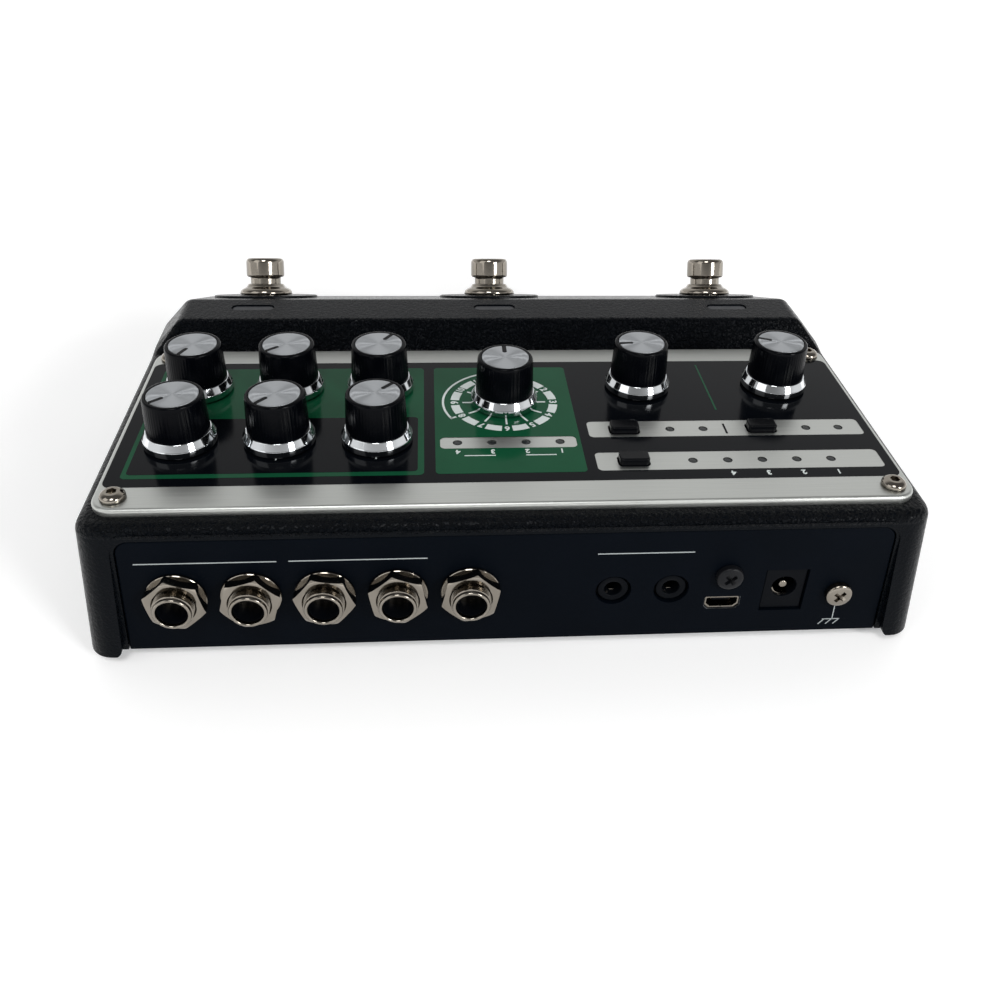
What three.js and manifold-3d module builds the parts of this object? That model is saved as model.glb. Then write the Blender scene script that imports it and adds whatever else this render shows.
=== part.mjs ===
import * as THREE from 'three';
import { mergeVertices } from 'three/addons/utils/BufferGeometryUtils.js';
import Module from 'manifold-3d';

const wasm = await Module();
wasm.setup();

// Floor echo unit. Sizes are in millimetres and angles in degrees.
// X runs to the player's right, Y from the footswitches to the sockets, Z up.
// While the pieces are shaped, y = 0 is the outer face of the rear panel and z = 0 the rim of the case.

// Case
const caseWidth = 192;
const caseDepth = 133;
const deckHeight = 34.35;
const humpHeight = 42.3;
const caseWall = 2.2;
const draftShare = 0.069;
const rearRimReach = 2.3;
const humpFootShare = 0.6;
const humpRidgeShare = 0.6338;
const humpCrestShare = 0.7293;
const frontDeckSlope = 23.3;
const rearEdgeRadius = 3;
const humpFootRadius = 1.5;
const humpRidgeRadius = 1.2;
const humpCrestRadius = 4;
const frontEdgeRadius = 3.5;
const deckShoulderRadius = 3;
const humpShoulderRadius = 9;
const rearCornerRadius = 6;
const frontCornerRadius = 8;
const leastRadius = 0.4;

// Rear opening and rear panel
const pillarWidth = 7.6;
const pillarFootRadius = 2.5;
const openingLeanShare = 0.108;
const lintelHeight = 2.85;
const openingCornerRadius = 4.3;
const rearPanelThickness = 1.6;
const rearPanelBend = 0.9;
const rearPanelFoot = 0.7;
const flangeDepth = 9;
const flangeThickness = 1.2;

// Control panel
const panelThickness = 1.85;
const panelSetback = 4.3;
const panelSideMargin = 5.25;
const panelFrontGap = 2;
const panelCornerRadius = 5;
const panelEdgeRadius = 0.9;
const panelScrewInset = 4.6;

// Clearances
const seatGap = 0.3;
const closeGap = 0.15;
const touchGap = 0.1;
const runningGap = 0.3;
const overrun = 1;
const weldDistance = 0.0001;
const spareFacetShare = 0.01;

// Knobs
const knobHeight = 13;
const knobTopRadius = 6.75;
const knobFootRadius = 7.2;
const knobRimHeight = 0.5;
const knobRibs = 18;
const knobRibDepth = 0.35;
const knobCapRadius = 5.77;
const knobCapThickness = 0.6;
const pointerWidth = 0.9;
const pointerStart = 2.4;
const skirtRadius = 8.3;
const skirtFoot = 0.7;
const skirtRimTop = 2.3;
const skirtTop = 3.9;
const skirtTopRadius = 7.4;
const skirtWall = 1.2;
const shaftRadius = 3;

// Control board
const boardThickness = 1.6;
const boardMargin = 1;
const potSize = 10;
const potHeight = 6.2;
const bushRadius = 3.8;
const bushReach = 2.4;
const boardPostRadius = 2.5;
const switchSize = 5;

// Indicator strips and small buttons of the control panel
const lampRadius = 1.05;
const lampRecess = 0.15;
const buttonWidth = 7;
const buttonDepth = 3.8;
const buttonTaper = 0.4;
const buttonReach = 1.8;
const buttonFlange = 1;
const buttonCornerRadius = 0.8;
const buttonTravel = 0.5;
const stemWidth = 3.6;
const stemDepth = 2.6;
const guideThickness = 1.2;
const windowMargin = 2.4;

// Indicator windows on the hump
const humpWindowLength = 11.6;
const humpWindowWidth = 3.3;
const humpWindowRecess = 0.3;
const humpWindowSetback = 5.4;
const humpGuideThickness = 2;
const humpGuideWidth = 5;

// Footswitches
const seatRadius = 15;
const seatRise = 0.7;
const switchBodySize = 16;
const switchBodyDepth = 14;
const switchBushRadius = 5.9;
const nutFootRadius = 7.6;
const nutTopRadius = 5.1;
const nutHeight = 3.3;
const nutFootHeight = 0.9;
const nutWaistShare = 0.6;
const nutWaistRiseShare = 0.25;
const neckRadius = 4.4;
const neckGrooveDepth = 0.35;
const neckGrooveWidth = 0.5;
const footCapRadius = 5.5;
const footCapBottom = 5.45;
const footCapTop = 11.2;
const footCapEdge = 0.8;
const footCapEdgeShare = 0.3;
const footTravel = 1.8;

// Large sockets with their nuts
const jackCount = 5;
const jackMargin = 14.2;
const jackPitch = 16.04;
const jackAxisShare = 0.5746;
const jackBore = 6.6;
const jackBushRadius = 4.4;
const jackReach = 5.9;
const jackBodyGap = 1.64;
const jackBodyDepth = 25;
const jackEndWall = 1.2;
const nutWall = 1.8;
const nutSides = 6;
const nutAngles = [42, 15, 51, 40, 18];
const nutThickness = 2.5;
const nutChamfer = 0.7;
const washerGap = 2.24;
const washerThickness = 0.8;

// Small sockets
const miniJackRadius = 3.5;
const miniJackBore = 3.6;
const miniJackWindow = 4.1;
const miniJackWidth = 8;
const miniJackDepth = 14;
const dataWidth = 7.9;
const dataTall = 3.2;
const dataTaper = 1;
const dataDepth = 5.6;
const dataShell = 0.4;
const dataTongue = 0.7;
const dataTongueWidth = 4.2;
const powerWidth = 9.6;
const powerTall = 11.6;
const powerDepth = 13;
const powerBore = 6.2;
const powerBoreRise = 0.7;
const powerPin = 2.1;
const powerPinSetback = 1.2;
const powerRecess = 0.4;

// Screws
const screwShankRadius = 1.45;
const screwShankLength = 7;
const panelHeadRadius = 2.8;
const panelHeadHeight = 1.6;
const panelHeadShoulderShare = 0.9;
const panelHeadShoulderRiseShare = 0.55;
const panelHeadTopShare = 0.6;
const hexSocketRadius = 1.15;
const hexSocketDepth = 0.9;
const rearHeadRadius = 3.1;
const rearHeadHeight = 1.9;
const rearHeadRimShare = 0.35;
const rearHeadTopShare = 0.7;
const crossLength = 3.4;
const crossWidth = 0.8;
const crossDepth = 1;
const crossAngle = 40;
const screwBossRadius = 3.4;
const screwBossLength = 6;

// Socket board with its bracket
const socketBoardShare = 0.2213;
const boardClearance = 2.75;
const socketBoardDepth = 33;
const bracketWidth = 7;
const bracketDepth = 8;

// Bottom cover and feet
const coverThickness = 1.1;
const coverLift = 0.1;
const coverBossRadius = 3.4;
const coverBossTop = 12;
const coverHoleRadius = 1.7;
const coverScrewRows = 3;
const footHeight = 2.8;
const footRadius = 6.5;
const footTaper = 0.7;
const footInset = 16;

// Facets: degrees of arc for each one outside and inside the case, and sides of round forms
const facetAngle = 22.5;
const innerFacetAngle = 45;
const leastSides = 6;
const fewSides = 8;
const someSides = 12;
const roundSides = 16;

const radians = THREE.MathUtils.degToRad;
const slopeAngle = radians(frontDeckSlope);
const rightAngle = 90;
const frontRim = caseDepth - rearRimReach;
const draftSecant = Math.hypot(1, draftShare);
const panelTop = deckHeight + panelThickness;
const humpCrest = caseDepth * humpCrestShare - rearRimReach;
const humpRidge = caseDepth * humpRidgeShare - rearRimReach;
const humpFoot = caseDepth * humpFootShare - rearRimReach;
const frontDeckRun = frontRim - humpCrest;
const panelDepth = humpFoot - panelSetback - panelFrontGap;
const panelWidth = caseWidth - 2 * panelSideMargin;
const deckUnderside = deckHeight - caseWall;
const humpUnderside = humpHeight - caseWall;

const paint = {
  castBlack: { color: 0x1b1c1e, roughness: 0.75, metalness: 0.2 },
  panelFace: { color: 0xb9bcbb, roughness: 0.35, metalness: 0.9 },
  sheetBlack: { color: 0x17181a, roughness: 0.5, metalness: 0.3 },
  knobBlack: { color: 0x121314, roughness: 0.35, metalness: 0 },
  spunSilver: { color: 0xcfd1d2, roughness: 0.25, metalness: 1 },
  nickel: { color: 0xc4c0b8, roughness: 0.22, metalness: 1 },
  blackPlastic: { color: 0x151617, roughness: 0.55, metalness: 0 },
  lampGrey: { color: 0x6c6f70, roughness: 0.3, metalness: 0 },
  rubber: { color: 0x202122, roughness: 0.9, metalness: 0 },
  board: { color: 0x1f4a33, roughness: 0.6, metalness: 0 },
  zincSteel: { color: 0x8f9396, roughness: 0.45, metalness: 0.9 },
};

function piece(name, geometry, finish) {
  const mesh = new THREE.Mesh(geometry, new THREE.MeshStandardMaterial(paint[finish]));
  mesh.name = name;
  return mesh;
}

// Solids

function toSolid(geometry) {
  const bare = geometry.clone();
  bare.deleteAttribute('normal');
  bare.deleteAttribute('uv');
  const merged = mergeVertices(bare, weldDistance);
  const corners = Array.from(merged.index.array);
  const kept = [];
  for (let i = 0; i < corners.length; i += 3) {
    const [a, b, c] = corners.slice(i, i + 3);
    if (a !== b && b !== c && c !== a) kept.push(a, b, c);
  }
  const vertProperties = new Float32Array(merged.attributes.position.array);
  return new wasm.Manifold(new wasm.Mesh({ numProp: 3, vertProperties, triVerts: new Uint32Array(kept) }));
}

function toGeometry(solid) {
  const mesh = solid.getMesh();
  const geometry = new THREE.BufferGeometry();
  geometry.setAttribute('position', new THREE.BufferAttribute(new Float32Array(mesh.vertProperties), 3));
  geometry.setIndex(Array.from(mesh.triVerts));
  geometry.computeVertexNormals();
  return geometry;
}

function combine(how, first, others) {
  return toGeometry(others.reduce((sum, other) => sum[how](toSolid(other)), toSolid(first)));
}

const join = (first, ...others) => combine('add', first, others);
const cut = (first, ...others) => combine('subtract', first, others);

// Outlines: each corner is [x, y] or [x, y, radius], and a radius turns it into an arc

function filleted(corners, closed, facet = facetAngle) {
  const points = [];
  corners.forEach(([x, y, radius = 0], i) => {
    const here = new THREE.Vector2(x, y);
    const isEnd = !closed && (i === 0 || i === corners.length - 1);
    if (isEnd || radius === 0) {
      points.push(here);
      return;
    }
    const before = corners.at(i - 1);
    const after = corners[(i + 1) % corners.length];
    const toBefore = new THREE.Vector2(before[0] - x, before[1] - y).normalize();
    const toAfter = new THREE.Vector2(after[0] - x, after[1] - y).normalize();
    const halfAngle = Math.acos(THREE.MathUtils.clamp(toBefore.dot(toAfter), -1, 1)) / 2;
    const start = here.clone().addScaledVector(toBefore, radius / Math.tan(halfAngle));
    const end = here.clone().addScaledVector(toAfter, radius / Math.tan(halfAngle));
    const inward = toBefore.clone().add(toAfter).normalize();
    const centre = here.clone().addScaledVector(inward, radius / Math.sin(halfAngle));
    const from = start.clone().sub(centre);
    const to = end.clone().sub(centre);
    const sweep = Math.atan2(from.cross(to), from.dot(to));
    const steps = Math.ceil(Math.abs(sweep) / radians(facet) - spareFacetShare);
    for (let step = 0; step <= steps; step += 1) {
      points.push(from.clone().rotateAround(new THREE.Vector2(), sweep * step / steps).add(centre));
    }
  });
  return points;
}

function roundedRectangle(width, depth, radius, facet = facetAngle) {
  const x = width / 2;
  const y = depth / 2;
  return filleted([[x, -y, radius], [x, y, radius], [-x, y, radius], [-x, -y, radius]], true, facet);
}

// A solid through rings of equally many points, closed at both ends
function loft(rings) {
  const count = rings[0].length;
  const points = rings.flat();
  const index = [];
  for (let ring = 0; ring + 1 < rings.length; ring += 1) {
    for (let i = 0; i < count; i += 1) {
      const a = ring * count + i;
      const b = ring * count + (i + 1) % count;
      index.push(a, b, b + count, a, b + count, a + count);
    }
  }
  const last = (rings.length - 1) * count;
  const middle = (ring) => ring.reduce((sum, p) => sum.add(p), new THREE.Vector3()).divideScalar(count);
  const firstMiddle = points.push(middle(rings[0])) - 1;
  const lastMiddle = points.push(middle(rings.at(-1))) - 1;
  for (let i = 0; i < count; i += 1) {
    const next = (i + 1) % count;
    index.push(firstMiddle, next, i);
    index.push(lastMiddle, last + i, last + next);
  }
  const geometry = new THREE.BufferGeometry().setFromPoints(points);
  geometry.setIndex(index);
  return geometry;
}

// An outline in X and Y, carried up through levels of [height, outline]
function stacked(levels) {
  return loft(levels.map(([z, outline]) => outline.map((p) => new THREE.Vector3(p.x, p.y, z))));
}

function prism(outline, from, to) {
  return stacked([[from, outline], [to, outline]]);
}

// A prism whose outline lies in X and Z, running along Y
function rearPrism(outline, from, to) {
  return prism(outline, -to, -from).rotateX(Math.PI / 2);
}

function block(x, y, z, width, depth, height) {
  return new THREE.BoxGeometry(width, depth, height).translate(x, y, z + height / 2);
}

// A round piece about Z from a profile of [radius, height] that runs up its outside
function turned(profile, sides) {
  const points = profile.map(([radius, z]) => new THREE.Vector2(radius, z));
  return new THREE.LatheGeometry(points, sides).rotateX(Math.PI / 2);
}

function rod(radius, from, to, sides) {
  return turned([[0, from], [radius, from], [radius, to], [0, to]], sides);
}

// The same about Y: the profile's height becomes the distance behind the rear panel's face
function turnedRear(profile, sides) {
  return turned(profile, sides).rotateX(-Math.PI / 2);
}

function rearRod(radius, from, to, sides) {
  return rod(radius, from, to, sides).rotateX(-Math.PI / 2);
}

function at(geometry, x, y, z) {
  return geometry.clone().translate(x, y, z);
}

// Places on the control panel: x is a share of its width from the middle, y of its depth from its rear edge

const onPanel = ([x, y]) => ({ x: x * panelWidth, y: -(panelSetback + y * panelDepth) });

const rearKnobShare = 0.3624;
const frontKnobShare = 0.7008;
const selectorShare = 0.5969;
const knobShares = {
  knob_rear_right: [0.419, rearKnobShare],
  knob_rear_middle: [0.2948, rearKnobShare],
  knob_rear_inner: [0.1705, rearKnobShare],
  knob_front_right: [0.419, frontKnobShare],
  knob_front_middle: [0.2948, frontKnobShare],
  knob_front_inner: [0.1705, frontKnobShare],
  knob_selector: [0, selectorShare],
  knob_left_inner: [-0.1934, frontKnobShare],
  knob_left_outer: [-0.3928, frontKnobShare],
};

// Where their pointers stand, clockwise from straight to the rear
const pointerAngles = [50, 41, -138, 25, 51, -147, 180, 85, 112];

const knobs = Object.entries(knobShares).map(([name, place]) => ({ name, ...onPanel(place) }));

const headStripShare = 0.3413;
const rearStripShare = 0.2191;
const frontStripShare = 0.4108;
const headLampShares = [0.067, 0.0223, -0.0223, -0.067];
const rearLampShares = [-0.2331, -0.2787, -0.3242, -0.3698, -0.4153];
const frontLampShares = [-0.2187, -0.2639, -0.4061, -0.4512];
const headLamps = headLampShares.map((x) => onPanel([x, headStripShare]));
const rearLamps = rearLampShares.map((x) => onPanel([x, rearStripShare]));
const frontLamps = frontLampShares.map((x) => onPanel([x, frontStripShare]));
const lamps = [...headLamps, ...rearLamps, ...frontLamps];

const buttonShares = {
  button_rear: [-0.1562, rearStripShare],
  button_front_inner: [-0.1562, frontStripShare],
  button_front_outer: [-0.3435, frontStripShare],
};
const buttons = Object.entries(buttonShares).map(([name, place]) => ({ name, ...onPanel(place) }));

const panelScrewX = panelWidth / 2 - panelScrewInset;
const panelScrewRearY = -(panelSetback + panelScrewInset);
const panelScrewFrontY = -(panelSetback + panelDepth - panelScrewInset);
const panelScrews = [
  { name: 'panel_screw_rear_right', x: panelScrewX, y: panelScrewRearY },
  { name: 'panel_screw_rear_left', x: -panelScrewX, y: panelScrewRearY },
  { name: 'panel_screw_front_right', x: panelScrewX, y: panelScrewFrontY },
  { name: 'panel_screw_front_left', x: -panelScrewX, y: panelScrewFrontY },
];

// Places across the case, as shares of its width from the middle
const footswitchShares = [-0.3495, 0, 0.3495];
const footswitchSides = ['left', 'centre', 'right'];
const footswitches = footswitchSides.map((side, i) => ({ side, x: footswitchShares[i] * caseWidth }));
const footswitchRun = frontDeckRun / 2;
const footswitchY = -(humpCrest + footswitchRun);
const footswitchZ = humpHeight - footswitchRun * Math.tan(slopeAngle);

const openingHalfFoot = caseWidth / 2 - pillarWidth;
const openingTop = deckHeight - lintelHeight;

// The two boards, and the large sockets that fit between them
const potTop = deckUnderside - seatGap;
const boardTop = potTop - potHeight;
const socketBoardTop = deckHeight * socketBoardShare;
const socketSeat = socketBoardTop + seatGap;
const jackBodyHeight = boardTop - boardThickness - boardClearance - socketSeat;
const jackHeight = socketSeat + jackBodyHeight * jackAxisShare;
const jackBodyWidth = jackPitch - jackBodyGap;
const washerRadius = (jackPitch - washerGap) / 2;
const nutAcrossFlats = 2 * (jackBushRadius + nutWall);
const jacks = Array.from({ length: jackCount }, (_, i) => (
  { x: openingHalfFoot - jackMargin - i * jackPitch, z: jackHeight }
));

// Places of the small pieces at the rear: x is a share of the way from the last large socket to the left pillar
const smallPiecesRun = jacks.at(-1).x + openingHalfFoot;
const atRear = ([x, z]) => ({ x: jacks.at(-1).x - x * smallPiecesRun, z: z * deckHeight });
const miniJackShares = [[0.3295, 0.4163], [0.4652, 0.4163]];
const dataShares = [0.5916, 0.2838];
const powerShares = [0.7359, 0.3814];
const bracketScrewShares = [0.5957, 0.5269];
const groundScrewShares = [0.8669, 0.3552];
const miniJackPlaces = miniJackShares.map(atRear);
const dataPlace = atRear(dataShares);
const powerPlace = atRear(powerShares);
const bracketScrewPlace = atRear(bracketScrewShares);
const groundScrewPlace = atRear(groundScrewShares);

// Case

const rearFaceAt = (z, inset) => rearRimReach - draftShare * z - inset * draftSecant;
const frontFaceAt = (z, inset) => draftShare * z - frontRim + inset * draftSecant;
const sideFaceAt = (z, inset) => caseWidth / 2 - draftShare * z - inset * draftSecant;

// Moves an open outline sideways by a distance and its fillets with it
function movedIn(corners, distance) {
  const directions = corners.slice(1).map((corner, i) => (
    new THREE.Vector2(corner[0] - corners[i][0], corner[1] - corners[i][1]).normalize()
  ));
  return corners.map(([x, y, radius = 0], i) => {
    const before = directions[Math.max(i - 1, 0)];
    const after = directions[Math.min(i, directions.length - 1)];
    const normal = new THREE.Vector2(-before.y - after.y, before.x + after.x);
    const step = distance / (1 + before.dot(after));
    const bend = Math.sign(before.cross(after));
    const inner = radius === 0 ? 0 : Math.max(radius - bend * distance, leastRadius);
    return [x + normal.x * step, y + normal.y * step, inner];
  });
}

// The side profile in Y and Z, from the rear rim over the deck and the hump to the front rim
function sideProfile(inset, facet) {
  const slopeShare = Math.tan(slopeAngle);
  const frontTop = (humpHeight - frontDeckRun * slopeShare) / (1 - draftShare * slopeShare);
  const corners = [
    [rearFaceAt(0, 0), 0],
    [rearFaceAt(deckHeight, 0), deckHeight, rearEdgeRadius],
    [-humpFoot, deckHeight, humpFootRadius],
    [-humpRidge, humpHeight, humpRidgeRadius],
    [-humpCrest, humpHeight, humpCrestRadius],
    [frontFaceAt(frontTop, 0), frontTop, frontEdgeRadius],
    [frontFaceAt(0, 0), 0],
  ];
  return filleted(movedIn(corners, inset), false, facet).slice(1, -1);
}

function heightOnProfile(profile, y) {
  const i = profile.findIndex((p) => p.x <= y);
  if (i < 1) return i === 0 ? profile[0].y : profile.at(-1).y;
  const [a, b] = [profile[i - 1], profile[i]];
  return THREE.MathUtils.mapLinear(y, a.x, b.x, a.y, b.y);
}

// How far a rounded corner pulls in at a distance from its end
function roundingAt(distance, radius) {
  const within = THREE.MathUtils.clamp(distance, 0, radius);
  return radius - Math.sqrt(radius ** 2 - (radius - within) ** 2);
}

// The housing's outer form, or with an inset its inner form: sections in X and Z from rear to front
function housingForm(inset, bottom, facet) {
  const profile = sideProfile(inset, facet);
  const arcSteps = Math.round(rightAngle / facet);
  const rearRadius = Math.max(rearCornerRadius - inset, leastRadius);
  const frontRadius = Math.max(frontCornerRadius - inset, leastRadius);
  const stations = profile.map((p) => p.x);
  for (let step = 1; step <= arcSteps; step += 1) {
    const rounding = 1 - Math.cos(Math.PI / 2 * step / arcSteps);
    stations.push(profile[0].x - rearRadius * rounding, profile.at(-1).x + frontRadius * rounding);
  }
  stations.sort((a, b) => b - a);
  const rings = stations.map((y) => {
    const top = heightOnProfile(profile, y);
    const rearY = rearFaceAt(top, inset);
    const length = rearY - frontFaceAt(top, inset);
    const share = (rearY - y) / length;
    const narrowing = roundingAt(share * length, rearRadius) + roundingAt((1 - share) * length, frontRadius);
    const rise = THREE.MathUtils.clamp((top - deckHeight + inset) / (humpHeight - deckHeight), 0, 1);
    const shoulderShare = y < -humpRidge ? 1 : rise;
    const outerRadius = THREE.MathUtils.lerp(deckShoulderRadius, humpShoulderRadius, shoulderShare);
    const radius = Math.max(outerRadius - inset, leastRadius);
    const centreZ = top - radius;
    const centreX = sideFaceAt(centreZ, inset) - radius * draftSecant - narrowing;
    const half = [new THREE.Vector2(sideFaceAt(bottom, inset) - narrowing, bottom)];
    const firstAngle = Math.atan(draftShare);
    for (let step = 0; step <= arcSteps; step += 1) {
      const angle = THREE.MathUtils.lerp(firstAngle, Math.PI / 2, step / arcSteps);
      half.push(new THREE.Vector2(centreX + radius * Math.cos(angle), centreZ + radius * Math.sin(angle)));
    }
    const outline = [...half, ...half.map((p) => new THREE.Vector2(-p.x, p.y)).reverse()];
    return outline.map((p) => {
      const along = THREE.MathUtils.lerp(rearFaceAt(p.y, inset), frontFaceAt(p.y, inset), share);
      return new THREE.Vector3(p.x, along, p.y);
    });
  });
  return loft(rings);
}

const openingHalfAt = (z) => openingHalfFoot - openingLeanShare * z;

// A closed outline in X and Z from the corners of its right half
function mirrored(right) {
  return filleted([...right, ...right.map(([x, z, r = 0]) => [-x, z, r]).reverse()], true);
}

// The rear opening, moved in by an inset
function openingOutline(inset, foot) {
  const top = openingTop - inset;
  return mirrored([
    [openingHalfAt(foot) - inset, foot],
    [openingHalfAt(top) - inset, top, openingCornerRadius - inset],
  ]);
}

// The rear opening as it is cut, with the rounded feet of the pillars
function openingCutOutline() {
  return mirrored([
    [openingHalfAt(0) + 2 * pillarFootRadius, -overrun],
    [openingHalfAt(0), 0, pillarFootRadius],
    [openingHalfAt(openingTop), openingTop, openingCornerRadius],
  ]);
}

// Turns a piece shaped about Z onto the footswitch deck: its z = 0 comes to the deck's surface
function ontoFrontDeck(geometry, x) {
  return geometry.clone().rotateX(slopeAngle).translate(x, footswitchY, footswitchZ);
}

const coverTop = coverLift + coverThickness;
const coverScrewY = (row) => {
  const rear = rearFaceAt(0, caseWall) - flangeDepth - coverBossRadius * 2;
  const front = frontFaceAt(0, caseWall) + coverBossRadius * 3;
  return THREE.MathUtils.lerp(rear, front, row / (coverScrewRows - 1));
};
const coverScrewX = sideFaceAt(coverTop, caseWall) - coverBossRadius;
const coverScrewPlaces = [1, -1].flatMap((side) => (
  Array.from({ length: coverScrewRows }, (_, row) => [side * coverScrewX, coverScrewY(row)])
));

// Each post of the control board stands midway between two knobs
const boardPostPlaces = [
  ['knob_rear_right', 'knob_front_middle'],
  ['knob_rear_middle', 'knob_front_inner'],
  ['knob_selector', 'knob_left_inner'],
  ['knob_left_inner', 'knob_left_outer'],
].map((pair) => {
  const [a, b] = pair.map((name) => onPanel(knobShares[name]));
  return [(a.x + b.x) / 2, (a.y + b.y) / 2];
});

// A window in the deck under an indicator strip, from its rightmost to its leftmost piece
function stripWindow(right, left, halfRight, depth) {
  const fromX = right.x + halfRight + windowMargin;
  const toX = left.x - windowMargin;
  return block((fromX + toX) / 2, right.y, deckHeight / 2, fromX - toX, depth, deckHeight);
}

function makeStripWindows() {
  const [rearButton, frontButton] = buttons;
  const depth = buttonDepth + windowMargin;
  return [
    stripWindow(headLamps.at(0), headLamps.at(-1), 0, 2 * windowMargin),
    stripWindow(rearButton, rearLamps.at(-1), buttonWidth / 2, depth),
    stripWindow(frontButton, frontLamps.at(-1), buttonWidth / 2, depth),
  ];
}

function makeCase() {
  const inside = housingForm(caseWall, -overrun, innerFacetAngle);
  const outside = housingForm(0, 0, facetAngle);
  const deckPosts = [
    ...boardPostPlaces.map(([x, y]) => at(rod(boardPostRadius, boardTop + seatGap, deckHeight - caseWall / 2,
      fewSides), x, y, 0)),
    ...panelScrews.map(({ x, y }) => at(rod(screwBossRadius, deckUnderside - screwBossLength,
      deckHeight - caseWall / 2, fewSides), x, y, 0)),
  ];
  const coverPosts = coverScrewPlaces.map(([x, y]) => (
    at(rod(coverBossRadius, coverTop + seatGap, coverBossTop, fewSides), x, y, 0)
  ));
  const seats = footswitches.map(({ x }) => (
    ontoFrontDeck(rod(seatRadius, -caseWall / 2, seatRise, roundSides), x)
  ));
  const shell = join(cut(outside, inside), ...deckPosts, ...coverPosts, ...seats);
  const openings = [
    rearPrism(openingCutOutline(), -(caseWall + overrun + rearPanelThickness), rearRimReach + overrun),
    ...knobs.map(({ x, y }) => at(rod(bushRadius + 2 * seatGap, boardTop, panelTop, fewSides), x, y, 0)),
    ...makeStripWindows(),
    ...panelScrews.map(({ x, y }) => at(rod(screwShankRadius + 2 * seatGap, deckHeight - screwShankLength,
      panelTop, leastSides), x, y, 0)),
    ...coverScrewPlaces.map(([x, y]) => at(rod(screwShankRadius, 0, screwShankLength, leastSides), x, y, 0)),
    ...footswitches.map(({ x }) => ontoFrontDeck(
      rod(switchBushRadius + 2 * seatGap, -switchBodyDepth / 2, seatRise + overrun, someSides),
      x,
    )),
    ...footswitches.map(({ x }) => at(prism(humpWindowOutline(0), humpUnderside - overrun,
      humpHeight + overrun), x, humpWindowY, 0)),
  ];
  return piece('case', cut(shell, ...openings), 'castBlack');
}

const humpWindowY = humpWindowSetback - humpCrest;

function humpWindowOutline(inset) {
  const width = humpWindowWidth - 2 * inset;
  return roundedRectangle(humpWindowLength - 2 * inset, width, width / 2 - leastRadius / 10, innerFacetAngle);
}

// Panels

const panelY = -(panelSetback + panelDepth / 2);

function buttonOutline(inset) {
  const depth = buttonDepth - 2 * inset;
  return roundedRectangle(buttonWidth - 2 * inset, depth, buttonCornerRadius, innerFacetAngle);
}

function makeControlPanel() {
  const outline = (inset) => (
    roundedRectangle(panelWidth - 2 * inset, panelDepth - 2 * inset, panelCornerRadius - inset)
  );
  const levels = [[deckHeight, outline(0)]];
  for (let step = 0; step <= 2; step += 1) {
    const angle = Math.PI / 2 * step / 2;
    const inset = panelEdgeRadius * (1 - Math.cos(angle));
    levels.push([panelTop - panelEdgeRadius * (1 - Math.sin(angle)), outline(inset)]);
  }
  const through = (outlineOrRadius, x, y, sides) => (
    typeof outlineOrRadius === 'number'
      ? at(rod(outlineOrRadius, deckHeight - overrun, panelTop + overrun, sides), x, y, 0)
      : at(prism(outlineOrRadius, deckHeight - overrun, panelTop + overrun), x, y, 0)
  );
  const holes = [
    ...knobs.map(({ x, y }) => through(bushRadius + 2 * seatGap, x, y, fewSides)),
    ...lamps.map(({ x, y }) => through(lampRadius + seatGap, x, y, leastSides)),
    ...buttons.map(({ x, y }) => through(buttonOutline(-runningGap), x, y)),
    ...panelScrews.map(({ x, y }) => through(screwShankRadius + seatGap, x, y, fewSides)),
  ];
  return piece('control_panel', cut(at(stacked(levels), 0, panelY, 0), ...holes), 'panelFace');
}

function makeRearPanel() {
  const outer = openingOutline(seatGap, rearPanelFoot);
  const face = openingOutline(seatGap + rearPanelBend, rearPanelFoot);
  const toRing = (outline, y) => outline.map((p) => new THREE.Vector3(p.x, y, p.y)).reverse();
  const plate = loft([
    toRing(outer, -rearPanelThickness),
    toRing(outer, -rearPanelBend),
    toRing(face, 0),
  ]);
  const flangeY = -(rearPanelThickness + flangeDepth) / 2;
  const flangeZ = coverTop + seatGap;
  const flangeWidth = 2 * (openingHalfFoot - pillarWidth);
  const flange = block(0, flangeY, flangeZ, flangeWidth, flangeDepth, flangeThickness);
  const back = -(rearPanelThickness + overrun);
  const holes = [
    ...jacks.map(({ x, z }) => at(rearRod(jackBushRadius + 2 * seatGap, back, overrun, fewSides), x, 0, z)),
    ...miniJackPlaces.map(({ x, z }) => at(rearRod(miniJackWindow, back, overrun, someSides), x, 0, z)),
    at(rearPrism(dataOutline(-seatGap), back, overrun), dataPlace.x, 0, dataPlace.z),
    block(powerPlace.x, 0, powerPlace.z - powerTall / 2 - seatGap, powerWidth + 2 * seatGap,
      3 * rearPanelThickness, powerTall + 2 * seatGap),
    ...[bracketScrewPlace, groundScrewPlace].map(({ x, z }) => (
      at(rearRod(screwShankRadius + seatGap, back, overrun, fewSides), x, 0, z)
    )),
  ];
  return piece('rear_panel', cut(join(plate, flange), ...holes), 'sheetBlack');
}

function makeBottomCover() {
  const halfWidth = sideFaceAt(coverTop, caseWall) - seatGap;
  const rearY = -(rearPanelThickness + seatGap);
  const frontY = frontFaceAt(coverTop, caseWall) + seatGap;
  const outline = filleted([
    [halfWidth, frontY, frontCornerRadius], [halfWidth, rearY, rearCornerRadius - caseWall],
    [-halfWidth, rearY, rearCornerRadius - caseWall], [-halfWidth, frontY, frontCornerRadius],
  ], true);
  const sheet = prism(outline, coverLift, coverTop);
  const holes = coverScrewPlaces.map(([x, y]) => (
    at(rod(coverHoleRadius, coverLift - overrun, coverTop + overrun, leastSides), x, y, 0)
  ));
  return piece('bottom_cover', cut(sheet, ...holes), 'zincSteel');
}

// Knobs

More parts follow.
